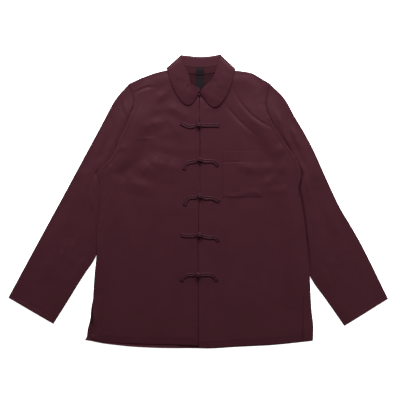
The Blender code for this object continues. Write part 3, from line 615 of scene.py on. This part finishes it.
def frontPanel(name, seen):
    f = frontShape
    sign = 1 if seen == "Right" else -1
    placket = sign < 0
    plan, up = frontPlan(seen, sign, placket)
    x, y = plan[..., 0], plan[..., 1]
    toSide, toTop, toHem = apart(plan, plan[:, -1:]), apart(plan, plan[-1:]), apart(plan, plan[:1])
    toSeam = np.minimum(toSide, toTop)
    besideArmhole = rise(*f["armholeStart"], up)[:, None]
    z = frontUnderside(x, y, np.minimum(toSeam, 1.5 * toHem), besideArmhole * (1 - rise(0, 60, toSide)))
    z = z - besideArmhole * f["rolledEdge"] * (1 - rise(0, 5, toSide))
    fromCentre = sign * (x - xAt(outlines["centreFront"], y))
    ridge = f["centreRidge"][0] * bell(fromCentre, f["centreRidge"][1])
    if placket:
        # it dips to run on under the other front, and is as high as that one from the centre on
        level = layers["placketLift"] * (1 - rise(*f["underlapSlope"], fromCentre)) + ridge
        z = z + level * rise(*f["centreGroove"], fromCentre)
    else:
        width = layers["placketWidth"]
        z = z + layers["placketLift"] * (1 - rise(width - 2, width + 14, fromCentre))
        z = z + ridge * (0.35 + 0.65 * rise(0, 1.4, fromCentre))
    # the vent's facing is a second layer inside its line of stitches, and the right front's edge curls up
    ventX, ventY, depth = ventLine["left" if sign > 0 else "right"]
    beyond = sign * (x - np.interp(y, ventY, ventX))
    groove = depth * bell(beyond, f["ventGroove"])
    z = z + (1 - rise(*f["ventTop"], y)) * (f["ventStep"] * rise(-0.5, 1.5, beyond) - groove)
    if placket:
        height, middle, length, width = f["curl"]
        z = z + height * bell(y - middle, length) * bell(toSide, width)
    # the hem is turned up and stitched, and ripples a little along the stitches
    fromStitch = toHem - f["hem"]
    z = z + f["hemStep"] * (1 - rise(-0.5, 1, fromStitch)) - f["hemDip"][0] * bell(fromStitch, f["hemDip"][1])
    z = z + f["hemRipple"][0] * unevenness(x, y * 0.2, 26, 8) * bell(fromStitch, f["hemRipple"][1])
    # the seams pucker along the armhole and shoulder
    height, inside, width = f["pucker"]
    z = z + height * unevenness(x, y, 17, 9) * bell(toSeam - inside, width) * rise(0, inside, toSeam)
    grid = raised(plan, z)
    if sign < 0:
        grid = grid[:, ::-1]
    piece = newPiece(name, grid)
    thicken(piece, layers["wall"], 1)
    return piece, grid


backShape = {
    "edgeLift": (0.25, 30),  # it lifts off the table a little here and there along its edge
    "hemCurl": (1.7, 1.5, 7),  # height, and the distances from the hem where it starts to fall and ends
    "allowance": (0.9, 5.5, 2.4),  # the seam's ridge inside the neck: height, distance, width
    "turnedHem": 12, "turnedVent": 20, "ventTop": 136, "paintedShadowInVentGap": (62, 106),
}


def backPanel():
    b = backShape
    up = np.concatenate(panelShares())
    left, right = [outerEdge("backSide", seen, 0) for seen in ("Left", "Right")]
    neck = divided(outlines["backNeck"], panelGrid["backNeck"])
    shoulders = [divided(outlines["shoulder" + seen], panelGrid["backShoulder"])[1:]
            for seen in ("Left", "Right")]
    top = np.concatenate([shoulders[0][::-1], neck[::-1] * [-1, 1], neck[1:], shoulders[1]])
    top[0], top[-1] = left[-1], right[-1]
    bottom = divided(outlines["hemBack"], len(top) - 1)
    bottom[0], bottom[-1] = left[0], right[0]
    plan = filledIn(left, right, bottom, top, np.linspace(0, 1, len(top)), up)
    x, y = plan[..., 0], plan[..., 1]
    toHem, toTop = apart(plan, plan[:1]), apart(plan, plan[-1:])
    toSide = np.minimum(apart(plan, plan[:, :1]), apart(plan, plan[:, -1:]))
    height, reach = b["edgeLift"]
    z = backUnderside(x, y)
    z = z + height * (1 + unevenness(x, y, 60, 5)) * (1 - rise(0, reach, np.minimum(toHem, toSide)))
    # where the hem comes out below the right front's, it curls up
    height, near, far = b["hemCurl"]
    z = z + height * (1 - rise(near, far, toHem)) * (1 - rise(-70, -30, x))
    height, inside, width = b["allowance"]
    z = z + height * bell(toTop - inside, width) * (1 - rise(56, 64, np.abs(x)))
    grid = raised(plan, z)
    piece = newPiece("back", grid, material=reverseAndShadeCloth)
    # the hem and the vents' facings are turned in, so the cloth's face shows there; elsewhere the darker
    # reverse cloth shows, which is partly the reverse's own dullness and partly painted shade in the neck
    # opening, and painted shadow in the gap below the curled edge
    gap = (x < 0) & (y > b["paintedShadowInVentGap"][0]) & (y < b["paintedShadowInVentGap"][1])
    turnedIn = (toHem < b["turnedHem"]) | ((toSide < b["turnedVent"]) & (y < b["ventTop"]) & ~gap)
    secondCloth(piece, silkyCloth, turnedIn[:-1, :-1])
    thicken(piece, layers["wall"], 1)
    piece.modifiers["wall"].material_offset = 1
    piece.modifiers["wall"].material_offset_rim = 1
    return piece, grid


print("body panels")
back, backGrid = backPanel()
frontLeft, frontLeftGrid = frontPanel("front_left", "Right")
frontRight, frontRightGrid = frontPanel("front_right", "Left")


# The sleeves: flattened tubes, fanned out about the underarm

sleeveShape = {
    "columns": 10, "rows": 12, "finerAcross": 5, "finerDown": 14, "evening": 300,
    "foldColumns": [0, 0.3, 1.0, 2.2, 4.2, 7.5, 12], "columnWidth": 24,
    "cuffRows": [17, 14, 12.8, 12, 11.2, 10, 6, 2, 0.6, 0], "rowLength": 46,
    "wall": 1.1, "foldRadius": 3.2, "deepest": -1.6,
    "cuffStitch": 12, "cuffDip": (0.45, 1.1), "cuffStep": 0.25,
    "puff": 4.2,  # it swells beside the armhole
    "besideBody": 4.8,  # and beside the body's edge, which presses it down
    "bodyTrough": 2.2,
    "mouthLift": 1.15,  # the seam's allowance holds its mouth off the table
    "grooveShadeSpan": (2.6, 7.0, 440, 26),  # the left armhole's groove is painted with shade: width along the seam, more at the underarm, y, length
    "left": {"outer": [(190.5, 713.5), (215, 694), (228, 675), (249, 638), (298, 553.5), (340, 462),
        (379.5, 378), (420, 310), (509, 133.5)],
        "tuck": [(266, 455), (261, 444), (257, 430)],
        "inner": [(257, 430), (254.5, 400), (257, 350), (266, 290), (280, 240), (298, 193), (343, 128),
        (390.5, 60)],
        "seen": "Right", "pressed": 1.0, "shadesGroove": True},
    "right": {"outer": [(-190.5, 713.5), (-209, 697), (-219, 683), (-234, 659), (-262, 606), (-296, 543),
        (-370, 406), (-444, 270), (-516, 136.5)],
        "tuck": [(-269, 455), (-263, 444), (-259, 430)],
        "inner": [(-259, 430), (-256, 400), (-256, 355), (-262, 310), (-278, 250), (-317, 189),
        (-355, 127), (-394, 65.5)],
        "seen": "Left", "pressed": 0.55, "shadesGroove": False},
}


def sleevePlan(shape, sign):
    # places in plan, rows from the armhole down and columns from the outer fold to the inner one
    s = sleeveShape
    knots = s["columns"]
    hole = outlines["armhole" + shape["seen"]]
    start = movedOut(np.concatenate([divided(hole, knots)[::-1], shape["tuck"]]), -sign * 0.5)
    for _ in range(3):
        near = slice(knots - 1, knots + 2)
        start[near] += (start[knots - 2 : knots + 1] + start[knots : knots + 3] - 2 * start[near]) / 4
    columns, rows = len(start) - 1, s["rows"]
    outerLine, innerLine = divided(shape["outer"], rows), divided(shape["inner"], rows)
    outerLine[0], innerLine[0] = start[0], start[-1]
    even = np.linspace(0, 1, columns + 1)
    cuff = (1 - even)[:, None] * outerLine[-1] + even[:, None] * innerLine[-1]
    plan = filledIn(outerLine, innerLine, start, cuff, even, np.linspace(0, 1, rows + 1))
    plan = evened(plan, s["evening"])
    # finer, with more columns round each fold and more rows at the cuff
    downAt = np.concatenate([np.linspace(0, rows - 0.5, rows * s["finerDown"] - 4),
            rows - np.array(s["cuffRows"]) / s["rowLength"]])
    turn = np.array(s["foldColumns"]) / s["columnWidth"]
    between = np.linspace(0.5, columns - 0.5, (columns - 1) * s["finerAcross"] + 1)[1:-1]
    plan = refined(plan, downAt).transpose(1, 0, 2)
    return refined(plan, np.concatenate([turn, between, columns - turn[::-1]])).transpose(1, 0, 2)


def sleeve(name, shape):
    s, seen = sleeveShape, shape["seen"]
    sign = 1 if seen == "Left" else -1
    plan = sleevePlan(shape, sign)
    x, y = plan[..., 0], plan[..., 1]
    fromHole, toCuff, fromOuter = apart(plan, plan[:1]), apart(plan, plan[-1:]), apart(plan, plan[:, :1])
    fromFold = np.minimum(fromOuter, apart(plan, plan[:, -1:]))
    overBody = np.abs(x) - np.abs(bodyEdge(seen, y))
    fuller = layers["sleeveHeight"] - layers["sleeveEndHeight"]
    height = layers["sleeveEndHeight"] + fuller * rise(4, 40, fromHole)
    rounded = np.sqrt(np.clip(1 - (1 - np.clip(fromFold / s["foldRadius"], 0, 1)) ** 2, 0, 1))
    free = rise(3, 30, fromFold) * rise(4, 30, fromHole) * np.where(y < 480, rise(2, 22, overBody), 1)
    relief = foldHeight(sleeveFolds, x, y) + 0.4 * unevenness(x, y, 90, 14) + 0.14 * unevenness(x, y, 30, 15)
    top = height / 2 * (1 + rounded) + free * np.maximum(relief, s["deepest"])
    swelling = (s["puff"] * rise(2.5, 8.5, fromHole) * (1 - 0.75 * rise(18, 90, fromHole))
            * rise(12, 80, fromOuter) * rise(2, 24, fromFold))
    fromStitch = toCuff - s["cuffStitch"]
    top = top + free * (s["cuffStep"] * (1 - rise(-0.5, 1, fromStitch))
            - s["cuffDip"][0] * bell(fromStitch, s["cuffDip"][1]))
    # beside the body's edge it is pressed down, and swells again past that
    low = layers["tuckBottom"][seen]
    beside = shape["pressed"] * rise(low - 30, low + 90, y) * (1 - rise(480, 560, y)) * rise(2, 20, fromHole)
    beside = beside * (1 + 0.5 * bell(y - 440, 40))
    ridge = beside * s["besideBody"] * rise(2.5, 8.5, overBody) * (1 - rise(12, 75, overBody))
    trough = s["bodyTrough"] * shape["pressed"] * beside * bell(overBody - 1.5, 3) * rise(3, 12, fromFold)
    top = top + np.maximum(swelling, ridge) - trough
    bottom = height / 2 * (1 - rounded) + 0.3 * free * np.maximum(relief, 0)
    bottom = bottom + s["mouthLift"] * (1 - rise(3, 16, fromHole))
    over, under = raised(plan, top), raised(plan, bottom)[:, -2:0:-1]
    rings = np.concatenate([over, under], axis=1)
    if sign > 0:
        rings = rings[:, ::-1]
    piece = newPiece(name, rings, gridFaces(*rings.shape[:2], closed=True))
    if shape["shadesGroove"]:
        # painted shade: the darker reverse cloth goes on the faces in the armhole's groove, where shade falls
        along, atUnderarm, middle, length = s["grooveShadeSpan"]
        wide = along * (1 - rise(600, 650, y)) * (1 - rise(2, 6, fromHole))
        wide = wide + atUnderarm * bell(y - middle, length)
        gap = np.zeros(rings.shape[:2], dtype=bool)
        gap[:, :over.shape[1]] = np.where(y > 470, fromHole, overBody) < wide - 0.4
        secondCloth(piece, reverseAndShadeCloth, (gap & (rings[..., 1] > 300))[:-1])
    thicken(piece, s["wall"], -1)
    length = float(np.linalg.norm(np.diff(plan[:, plan.shape[1] // 2], axis=0), axis=1).sum()) / 1000
    return piece


print("sleeves")
sleeveLeft = sleeve("sleeve_left", sleeveShape["left"])
sleeveRight = sleeve("sleeve_right", sleeveShape["right"])


# The collar: a stand sewn to the neck, and a leaf that rolls over it

collarShape = {
    # nx, ny, nz, rx, ry, zi, zo, lx, ly, lz at stations from the throat round to the back:
    # the neck seam n, the roll r with the heights of its two layers, and the leaf's edge l
    "left": [
        (-1.5, 688, 6.8, 2.6, 698.2, 11, 12.5, -0.8, 689.5, 10.5),
        (-8, 688.5, 6.8, -4, 702, 11.5, 13, -7.4, 677.6, 9.8),
        (-16, 690, 6.7, -11, 705.5, 12, 13.6, -17.4, 662.4, 9),
        (-24, 692.5, 6.6, -17.5, 709, 12, 14, -30.5, 654.8, 8.6),
        (-33, 696.5, 6.6, -22.8, 712.8, 12, 14, -45.5, 662.6, 8.4),
        (-43, 703, 6.6, -25, 721, 12, 14, -58, 679, 8.2),
        (-53, 712, 6.6, -28, 733, 12, 14, -70, 702, 8),
        (-62, 725, 6.8, -33, 745, 11.5, 13.8, -78, 721, 7.8),
        (-66.5, 737, 7, -42, 763, 11, 13.2, -83, 740, 7.6),
        (-68.5, 747, 7, -47.5, 778, 9.6, 11.6, -86.5, 749.5, 7),
        (-66, 753, 5.6, -50.5, 787, 7, 7, -89.5, 753.6, 4),
        (-61, 750, 4.2, -49.5, 789, 4.8, 2.6, -87, 753, 1.6),
        (-53, 746, 3.6, -43, 788.5, 4.2, 1.8, -72, 746.5, 1.6),
        (-36, 741.5, 3.4, -29, 787, 3.8, 1.6, -45, 740, 1.6),
        (-18, 740, 3.4, -14, 785.5, 3.8, 1.6, -21, 738, 1.6),
    ],
    "back": [(0, 740, 3.4, 0, 784.5, 3.8, 1.6, 0, 738, 1.6)],
    "right": [
        (4.2, 687.5, 8.6, 3.8, 692.8, 11.5, 13, 4.8, 684, 10.8),
        (10, 688, 8.6, 8, 697, 12, 13.5, 12.7, 674, 10),
        (17, 690, 8.5, 13, 701.5, 12, 14, 25, 657.6, 9.4),
        (25, 693, 8.4, 18, 706.5, 12, 14, 38, 649.6, 9),
        (34, 697, 8.2, 24, 713.5, 12, 14, 51, 653.5, 8.8),
        (44, 704, 7.4, 30.5, 721.5, 12, 14, 62, 665, 8.6),
        (54, 713, 6.8, 36.5, 731.5, 12, 14, 73, 682, 8.4),
        (62, 725, 6.8, 42.5, 744, 11.5, 13.8, 82, 703, 8),
        (66.5, 737, 7, 49, 764, 11, 13.2, 89, 724, 7.6),
        (68.5, 747, 7, 54, 780, 9.6, 11.6, 94, 746, 7),
        (66, 753, 5.6, 56, 790, 7, 7, 97, 751.6, 4),
        (61, 750, 4.2, 54, 791, 4.8, 2.6, 91, 752.5, 1.6),
        (53, 746, 3.6, 47, 789, 4.2, 1.8, 74, 746.5, 1.6),
        (36, 741.5, 3.4, 32, 786.5, 3.8, 1.6, 46, 740, 1.6),
        (18, 740, 3.4, 16, 785, 3.8, 1.6, 21, 738, 1.6),
    ],
    "steps": 7, "standPoints": 7, "insidePoints": 9, "outsidePoints": 14,
    "standShare": 0.37, "leafWall": 1.2, "standWall": 1.0, "rollRadius": 0.9,
    "backRise": 2.4,  # the stand rises at the back of the neck
    "seam": 0.3,  # between stand and leaf
    "puff": 0.64,  # the leaf swells over the fold and comes down to lie on the front
}


def collar(over):
    c = collarShape
    table = np.array(c["left"] + c["back"] + c["right"][::-1], float)
    stations = refined(table, np.linspace(0, len(table) - 1, (len(table) - 1) * c["steps"] + 1))
    standRows, leafRows = [], []
    share, radius, backRise = c["standShare"], c["rollRadius"], c["backRise"]
    standShares = np.linspace(0, 1, c["standPoints"])
    insideShares = np.linspace(0, 1, c["insidePoints"])[:-1]
    outsideShares = np.linspace(0, 1, c["outsidePoints"])[1:]
    for row in stations:
        n, r, leaf = row[0:3], row[3:5], row[7:10]
        higher = backRise * (1 - rise(5, 9, n[2] + row[5] - row[6]))
        rollIn = np.array([*(r + radius * unit(n[:2] - r)), row[5] + higher])
        rollOut = np.array([*(r + radius * unit(leaf[:2] - r)), row[6]])
        gap = c["seam"] / np.linalg.norm(rollIn - n)
        stand = n + (rollIn - n) * (standShares * (share - gap))[:, None]
        if n[2] > 5:
            for p in stand:
                p[2] = max(p[2], over(p[0], p[1], 4) + c["standWall"] + 0.5)
        standRows.append(stand)
        inside = n + (rollIn - n) * np.linspace(share + gap, 1, c["insidePoints"])[:-1, None]
        if n[2] < 5:
            # the stand rises from the neck seam, and the leaf goes on less steeply from there
            stand[:, 2] += 0.5 + backRise * 0.5 * standShares
            inside[:, 2] += (backRise * 0.5 + 0.5) * (1 - insideShares)
        # the roll's top lies near the higher layer, so that its rim isn't a bright edge
        middle = np.array([*r, max(rollIn[2], rollOut[2]) - 0.2 * abs(rollIn[2] - rollOut[2])])
        bend = [rollIn + (middle - rollIn) * 0.6 + (rollIn - inside[-1]) * 0.03, middle,
                rollOut + (middle - rollOut) * 0.6]
        outside = rollOut + (leaf - rollOut) * outsideShares[:, None]
        puff = c["puff"] * np.sin(math.pi * outsideShares) ** 1.4 * rise(6, 9, leaf[2])
        for p, more in zip(outside, puff):
            if p[2] > layers["collarLift"] + 1.5:
                p[2] = max(p[2], over(p[0], p[1], 6) + 0.6) + more
        leafRows.append(np.concatenate([inside, [rollIn], bend, [rollOut], outside]))
    stand, leaf = np.array(standRows), np.array(leafRows)
    x, y = leaf[..., 0], leaf[..., 1]
    relief = 0.25 * unevenness(x, y, 40, 21) + 0.1 * unevenness(x, y, 14, 22) + foldHeight(collarFolds, x, y)
    outer = slice(c["insidePoints"] + 5, None)
    leaf[:, outer, 2] += relief[:, outer] * rise(5, 7.5, leaf[:, outer, 2])
    pieces = []
    for name, grid, wall in (("collar_stand", stand, c["standWall"]), ("collar_leaf", leaf, c["leafWall"])):
        piece = newPiece(name, grid)
        thicken(piece, wall, -1)
        pieces.append(piece)
    return pieces[0]


print("collar")
overFronts = heightOver(frontLeft, frontRight)
collarStand = collar(overFronts)


# Pocket, label and button

pocketShape = {
    "left": 62.5, "right": 169, "bottom": 408, "top": 530, "wall": 0.7,
    "edge": [0, 0.8, 2], "columns": 34, "rows": 28,
    "hemStitch": 28, "hemRows": [29.4, 28.6, 28, 27.4, 26.6, 22, 16, 10, 5, 2, 0.7, 0],
    "swell": 0.9, "centreSide": 0.5, "stitchDip": (0.5, 1.1),
}


def chestPocket(over):
    p = pocketShape
    edge = np.array(p["edge"])
    xs = np.concatenate([p["left"] + edge, np.linspace(p["left"] + 5, p["right"] - 5, p["columns"]),
            p["right"] - edge[::-1]])
    ys = np.concatenate([p["bottom"] + edge, np.linspace(p["bottom"] + 5, p["top"] - 31, p["rows"]),
            p["top"] - np.array(p["hemRows"])])
    x, y = np.meshgrid(xs, ys)
    base = np.array([[over(a, b) for a in xs] for b in ys])
    toSewn = np.minimum(np.minimum(x - p["left"], p["right"] - x), y - p["bottom"])
    fromTop = p["top"] - y
    z = base + 0.12 + p["swell"] * rise(0, 22, toSewn) * (0.7 + 0.3 * rise(0, 60, fromTop))
    z = z + 0.3 * unevenness(x, y, 46, 31) * rise(0, 12, toSewn)
    z = z + p["centreSide"] * (1 - rise(0, 7, x - p["left"]))
    # the stitches of its hem pull here and there
    pulled = 0.15 + 0.85 * rise(-0.1, 0.5, unevenness(x, 0 * y, 55, 34))
    dip, width = p["stitchDip"]
    z = z - dip * pulled * bell(fromTop - p["hemStitch"], width) + 0.1 * (1 - rise(27.5, 29, fromTop))
    grid = np.stack([x, y, z], axis=2)
    piece = newPiece("chest_pocket", grid)
    thicken(piece, p["wall"], 1)
    return piece


labelShape = {"left": -9, "right": 12, "bottom": 697, "top": 758, "wall": 0.7}


def backLabel(over):
    p = labelShape
    xs, ys = np.linspace(p["left"], p["right"], 15), np.linspace(p["bottom"], p["top"], 36)
    x, y = np.meshgrid(xs, ys)
    base = np.array([[over(1.5, b, 6) for a in xs] for b in ys])
    toSide = np.minimum(x - p["left"], p["right"] - x)
    z = base + 0.4 + 0.15 * (1 - rise(0.8, 1.6, toSide)) + 0.12 * np.sin(y / 9.0)
    grid = np.stack([x, y, z], axis=2)
    piece = newPiece("label", grid, slot="label_tape")
    thicken(piece, p["wall"], 1, rim=0.2)


throatShape = {
    "place": (0.2, 682.5), "radius": 2.9, "height": 4.4, "sides": 24, "rings": 14, "pleats": (8, 0.035),
}


def throatButton(over):
    # a small covered ball, gathered underneath
    p = throatShape
    base = over(*p["place"], p["radius"]) + 0.3
    count, depth = p["pleats"]
    pleats = depth * np.cos(count * np.arange(p["sides"]) * math.tau / p["sides"])
    profile = [(p["radius"] * math.sin(a) * (1 + pleats * max(0, -math.cos(a))),
            base + p["height"] / 2 * (1 + math.cos(a)))
            for a in np.linspace(0.02, math.pi - 0.02, p["rings"])]
    newPiece("throat_button", *turned(p["place"], profile, p["sides"]))


print("pocket, label, button")
pocket = chestPocket(heightOver(frontLeft))
throatButton(overFronts)
backLabel(heightOver(back, collarStand))


# The frogs

frogShape = {
    "cord": 4.9, "pitch": 5.3, "pressed": 0.54, "cordSides": 14, "endTaper": 0.02,
    "loopRadius": 5.1, "loopOpening": 0.62,
    "knotRadius": 4.5, "knotHeight": 6.1, "knotSquash": 0.68,
    "knotCord": 2.0, "knotPoints": 150, "knotSides": 12, "knotTilt": 58, "knotWeave": 0.13,
    "knotCore": 5.0, "coreSides": 16, "stemRadius": 2.2, "stemTop": 4.6,
    # each frog's knot, and the middle lines of its button arm and its loop arm
    "rows": [
        ((-2, 601), [(-15, 599), (-20, 597.5), (-27, 597), (-34, 599), (-42, 602.5), (-51, 607)],
        [(10, 601), (20, 601), (38, 601), (53, 600.5)]),
        ((0.5, 507.5), [(-12.5, 504), (-18, 502.5), (-25, 502), (-32, 499.5), (-38, 493), (-42, 481)],
        [(12, 504), (24, 504), (34, 504), (40, 502), (46, 496.5), (49.5, 490)]),
        ((1.5, 409.5), [(-11.5, 407), (-17, 406.5), (-25, 406.5), (-32, 403), (-37, 396), (-40.5, 385)],
        [(13, 405), (22, 404.5), (30, 405), (38, 403), (46, 399.5), (54, 395.5)]),
        ((0, 305), [(-13, 304), (-22, 303.5), (-34, 303.5), (-42, 304.5), (-50, 307)],
        [(11, 301.5), (18, 300), (27, 298.5), (37, 299.5), (45, 296.5), (50.5, 288)]),
        ((-4, 198), [(-17, 198), (-23, 198.5), (-31, 198.5), (-38, 195.5), (-45, 189.5), (-49.5, 181)],
        [(7, 198.5), (14, 199), (24, 199), (32, 198), (38.5, 194), (44, 187.5), (46.5, 181)]),
    ],
}


def frogArm(name, middle, knot, hasLoop, over):
    # a cord doubled on itself: one strand in, round the knot or back, and the other out again
    f = frogShape
    line = divided(middle, 26)
    strands = [movedOut(line, side * f["pitch"] / 2) for side in (-1, 1)]
    inward = unit(line[0] - line[1])
    if hasLoop:
        centre, radius, opening = np.array(knot, float), f["loopRadius"], f["loopOpening"]
    else:
        centre, radius, opening = line[0], f["pitch"] / 2, math.pi / 2
    facing = math.atan2(inward[1], inward[0])
    turn = np.linspace(-math.pi + opening, math.pi - opening, 24 if hasLoop else 9)
    bend = centre + radius * np.stack([np.cos(facing + turn), np.sin(facing + turn)], axis=1)
    firstNear = np.linalg.norm(strands[0][0] - bend[0]) < np.linalg.norm(strands[1][0] - bend[0])
    first, last = (0, 1) if firstNear else (1, 0)
    rough = np.concatenate([strands[first][::-1], bend if hasLoop else bend[1:-1], strands[last]])
    plan = divided(rough, 110)
    half = f["cord"] / 2
    z = np.array([over(x, y, 3) for x, y in plan])
    z = np.convolve(np.pad(z, 3, mode="edge"), np.ones(7) / 7, mode="valid") + 0.3 + half * f["pressed"]
    along = np.linspace(0, 1, len(plan))
    # the cut ends are turned under, so they taper and go down into the cloth
    taper = np.clip(np.minimum(along, 1 - along) / f["endTaper"], 0, 1) ** 0.5
    uneven = 1 + 0.025 * np.sin(along * 90 + knot[1]) + 0.02 * np.sin(along * 37 + knot[0])
    path = np.concatenate([plan, z[:, None]], axis=1)
    radius = half * (0.55 + 0.45 * taper) * uneven
    newPiece(name, *cordMesh(path, radius, f["cordSides"], flatten=f["pressed"]), "silky_cord")


def frogKnot(name, knot, over):
    # a ball knot: one cord woven over and under itself round a ball, three leads with four bights
    f = frogShape
    base = over(knot[0], knot[1], 3) + 0.3
    middle = base + f["knotHeight"]
    count, sides = f["knotPoints"], f["knotSides"]
    t = np.arange(count) / count * math.tau
    latitude = math.radians(f["knotTilt"]) * np.cos(4 * t)
    reach = f["knotRadius"] * (1 + f["knotWeave"] * np.sin(8 * t))
    path = np.stack([knot[0] + reach * np.cos(latitude) * np.cos(3 * t),
            knot[1] + reach * np.cos(latitude) * np.sin(3 * t),
            middle + f["knotSquash"] * reach * np.sin(latitude)], axis=1)
    along = unit(np.roll(path, -1, axis=0) - np.roll(path, 1, axis=0))
    out = path - np.array([*knot, middle])
    out = unit(out - (out * along).sum(1)[:, None] * along)
    cord = ringsRound(path, f["knotCord"], np.cross(along, out), out, sides).reshape(-1, 3)
    last = (count - 1) * sides
    faces = gridFaces(count, sides, closed=True)
    faces += [(last + i, last + (i + 1) % sides, (i + 1) % sides, i) for i in range(sides)]
    # the core that fills the ball, and the stem that holds it to the front
    core = [(f["knotCore"] * math.sin(a), middle + f["knotSquash"] * f["knotCore"] * math.cos(a))
            for a in np.linspace(0.05, math.pi - 0.5, 10)]
    core += [(f["stemRadius"], base + f["stemTop"]), (f["stemRadius"], base + 0.1)]
    corePoints, coreFaces = turned(knot, core, f["coreSides"])
    faces += [tuple(i + len(cord) for i in face) for face in coreFaces]
    newPiece(name, np.concatenate([cord, corePoints]), faces, "silky_cord")


print("frogs")
for number, (knot, buttonArm, loopArm) in enumerate(frogShape["rows"], 1):
    frogKnot(f"frog_knot_{number}", knot, overFronts)
    frogArm(f"frog_button_arm_{number}", buttonArm, knot, False, overFronts)
    frogArm(f"frog_loop_arm_{number}", loopArm, knot, True, overFronts)


# Stitching

stitchShape = {
    "length": 2.6, "gap": 0.9, "thread": 0.38, "sides": 5,
    "along": [0, 0.25, 0.5, 0.75, 1], "arch": [-0.45, 0.2, 0.34, 0.2, -0.45],
    "fromHem": 12, "fromPocketEdge": 2, "hemShare": (0.01, 0.995), "besideFold": 3,
}


def stitches(name, line, over):
    # a row of lockstitches that lie on the cloth along a line in plan
    s = stitchShape
    line = np.asarray(line, float)
    lengths = lengthsAlong(line)
    pitch = s["length"] + s["gap"]
    allPoints, allFaces = [], []
    for k in range(int(lengths[-1] / pitch)):
        at = k * pitch + np.array(s["along"]) * s["length"]
        plan = np.stack([np.interp(at, lengths, line[:, i]) for i in range(2)], axis=1)
        z0, z1 = over(*plan[0]), over(*plan[-1])
        if min(z0, z1) <= 0:
            continue
        z = z0 + (z1 - z0) * np.linspace(0, 1, len(at)) + s["thread"] * np.array(s["arch"])
        points, faces = cordMesh(np.concatenate([plan, z[:, None]], axis=1), s["thread"] / 2, s["sides"])
        allFaces += [tuple(i + len(allPoints) for i in face) for face in faces]
        allPoints += points.tolist()
    newPiece(name, allPoints, allFaces, material=sewingThread, ofSolid=False)


def hemLine(name):
    # the line in plan where a hem is stitched
    line = curveAt(outlines[name], np.linspace(*stitchShape["hemShare"], 160))
    sign = 1 if line[-1][0] > line[0][0] else -1
    return movedOut(line, sign * stitchShape["fromHem"])


print("stitching")
overLeft, overRight, overPocket = [heightOver(piece) for piece in (frontLeft, frontRight, pocket)]
stitches("hem_stitches_left", hemLine("hemRight"), overLeft)
stitches("hem_stitches_right", hemLine("hemLeft"), overRight)
for side, over in (("left", overLeft), ("right", overRight)):
    (x0, x1), (y0, y1), _ = ventLine[side]
    stitches(f"vent_stitches_{side}", [(x0, y0 + 4), (x1, y1)], over)
inner = stitchShape["fromPocketEdge"]
left, right = pocketShape["left"] + inner, pocketShape["right"] - inner
top, bottom, hem = [pocketShape["top"] - inner, pocketShape["bottom"] + inner,
        pocketShape["top"] - pocketShape["hemStitch"]]
stitches("pocket_hem_stitches", [(left, hem), (right, hem)], overPocket)
stitches("pocket_edge_stitches", [(left, top), (left, bottom), (right, bottom), (right, top)], overPocket)
overSleeves = heightOver(sleeveLeft, sleeveRight)
for side in ("left", "right"):
    a, b = [np.array(sleeveShape[side][edge][-1]) for edge in ("outer", "inner")]
    across = unit(b - a)
    up = np.array([across[1], -across[0]])
    up = (up if up[1] > 0 else -up) * stitchShape["fromHem"]
    inset = across * stitchShape["besideFold"]
    stitches(f"cuff_stitches_{side}", [a + inset + up, b - inset + up], overSleeves)


# Floor, light and camera

studio = {
    "floor": "#FAFAFA", "floorHalf": 6, "floorZ": -0.0006, "floorRoughness": 0.9,
    "tableGlow": 0.8,  # a light table: it takes the shadows away, as in the photograph
    "surround": 0.1,
    "lights": {
        # place, aim, size, watts
        "key": ((0.06, 1.8, 1.36), (0, 0.1, 0), (2.3, 0.9), 148),
        "fill": ((0.4, -1.7, 1.9), (0, -0.1, 0), (1.4, 1.0), 8),
        "beside_right_sleeve": ((-1.35, 0.35, 0.7), (-0.35, 0.05, 0), (0.5, 1.1), 7),
        "beside_left_sleeve": ((1.45, -0.2, 0.7), (0.4, -0.15, 0), (0.5, 1.3), 6.5),
    },
    "lens": 85, "sensor": 36,
    "viewWidth": 1.080,  # metres across the picture
    "viewCentre": (1.35, 399.6),
}

print("studio")
h, low = studio["floorHalf"], studio["floorZ"]
floorMesh = bpy.data.meshes.new("floor")
floorMesh.from_pydata([(-h, -h, low), (h, -h, low), (h, h, low), (-h, h, low)], [], [(0, 1, 2, 3)])
floor = bpy.data.objects.new("floor", floorMesh)
scene.collection.objects.link(floor)
# matt white paper on a lit table: nearly shadowless
paper = bpy.data.materials.new("matt_white_paper")
paper.use_nodes = True
for socket, value in {"Base Color": linear(studio["floor"]), "Roughness": studio["floorRoughness"],
        "Emission Color": (1, 1, 1, 1), "Emission Strength": studio["tableGlow"]}.items():
    paper.node_tree.nodes["Principled BSDF"].inputs[socket].default_value = value
floorMesh.materials.append(paper)

world = bpy.data.worlds.new("studio")
scene.world = world
world.use_nodes = True
surround = world.node_tree.nodes["Background"]
surround.inputs["Color"].default_value = (1, 1, 1, 1)
surround.inputs["Strength"].default_value = studio["surround"]

for name, (place, aim, size, power) in studio["lights"].items():
    softbox = bpy.data.lights.new(name, "AREA")
    softbox.shape = "RECTANGLE"
    softbox.size, softbox.size_y = size
    softbox.energy = power
    light = bpy.data.objects.new(name, softbox)
    light.location = place
    light.rotation_euler = (Vector(aim) - Vector(place)).to_track_quat("-Z", "Y").to_euler()
    scene.collection.objects.link(light)

camera = bpy.data.objects.new("camera", bpy.data.cameras.new("camera"))
camera.data.lens, camera.data.sensor_width = studio["lens"], studio["sensor"]
viewX, viewY = (np.array(studio["viewCentre"]) + shirtShift[:2]) * 0.001
camera.location = (viewX, viewY, studio["viewWidth"] * studio["lens"] / studio["sensor"])
scene.collection.objects.link(camera)
scene.camera = camera
scene.view_settings.view_transform = "Standard"
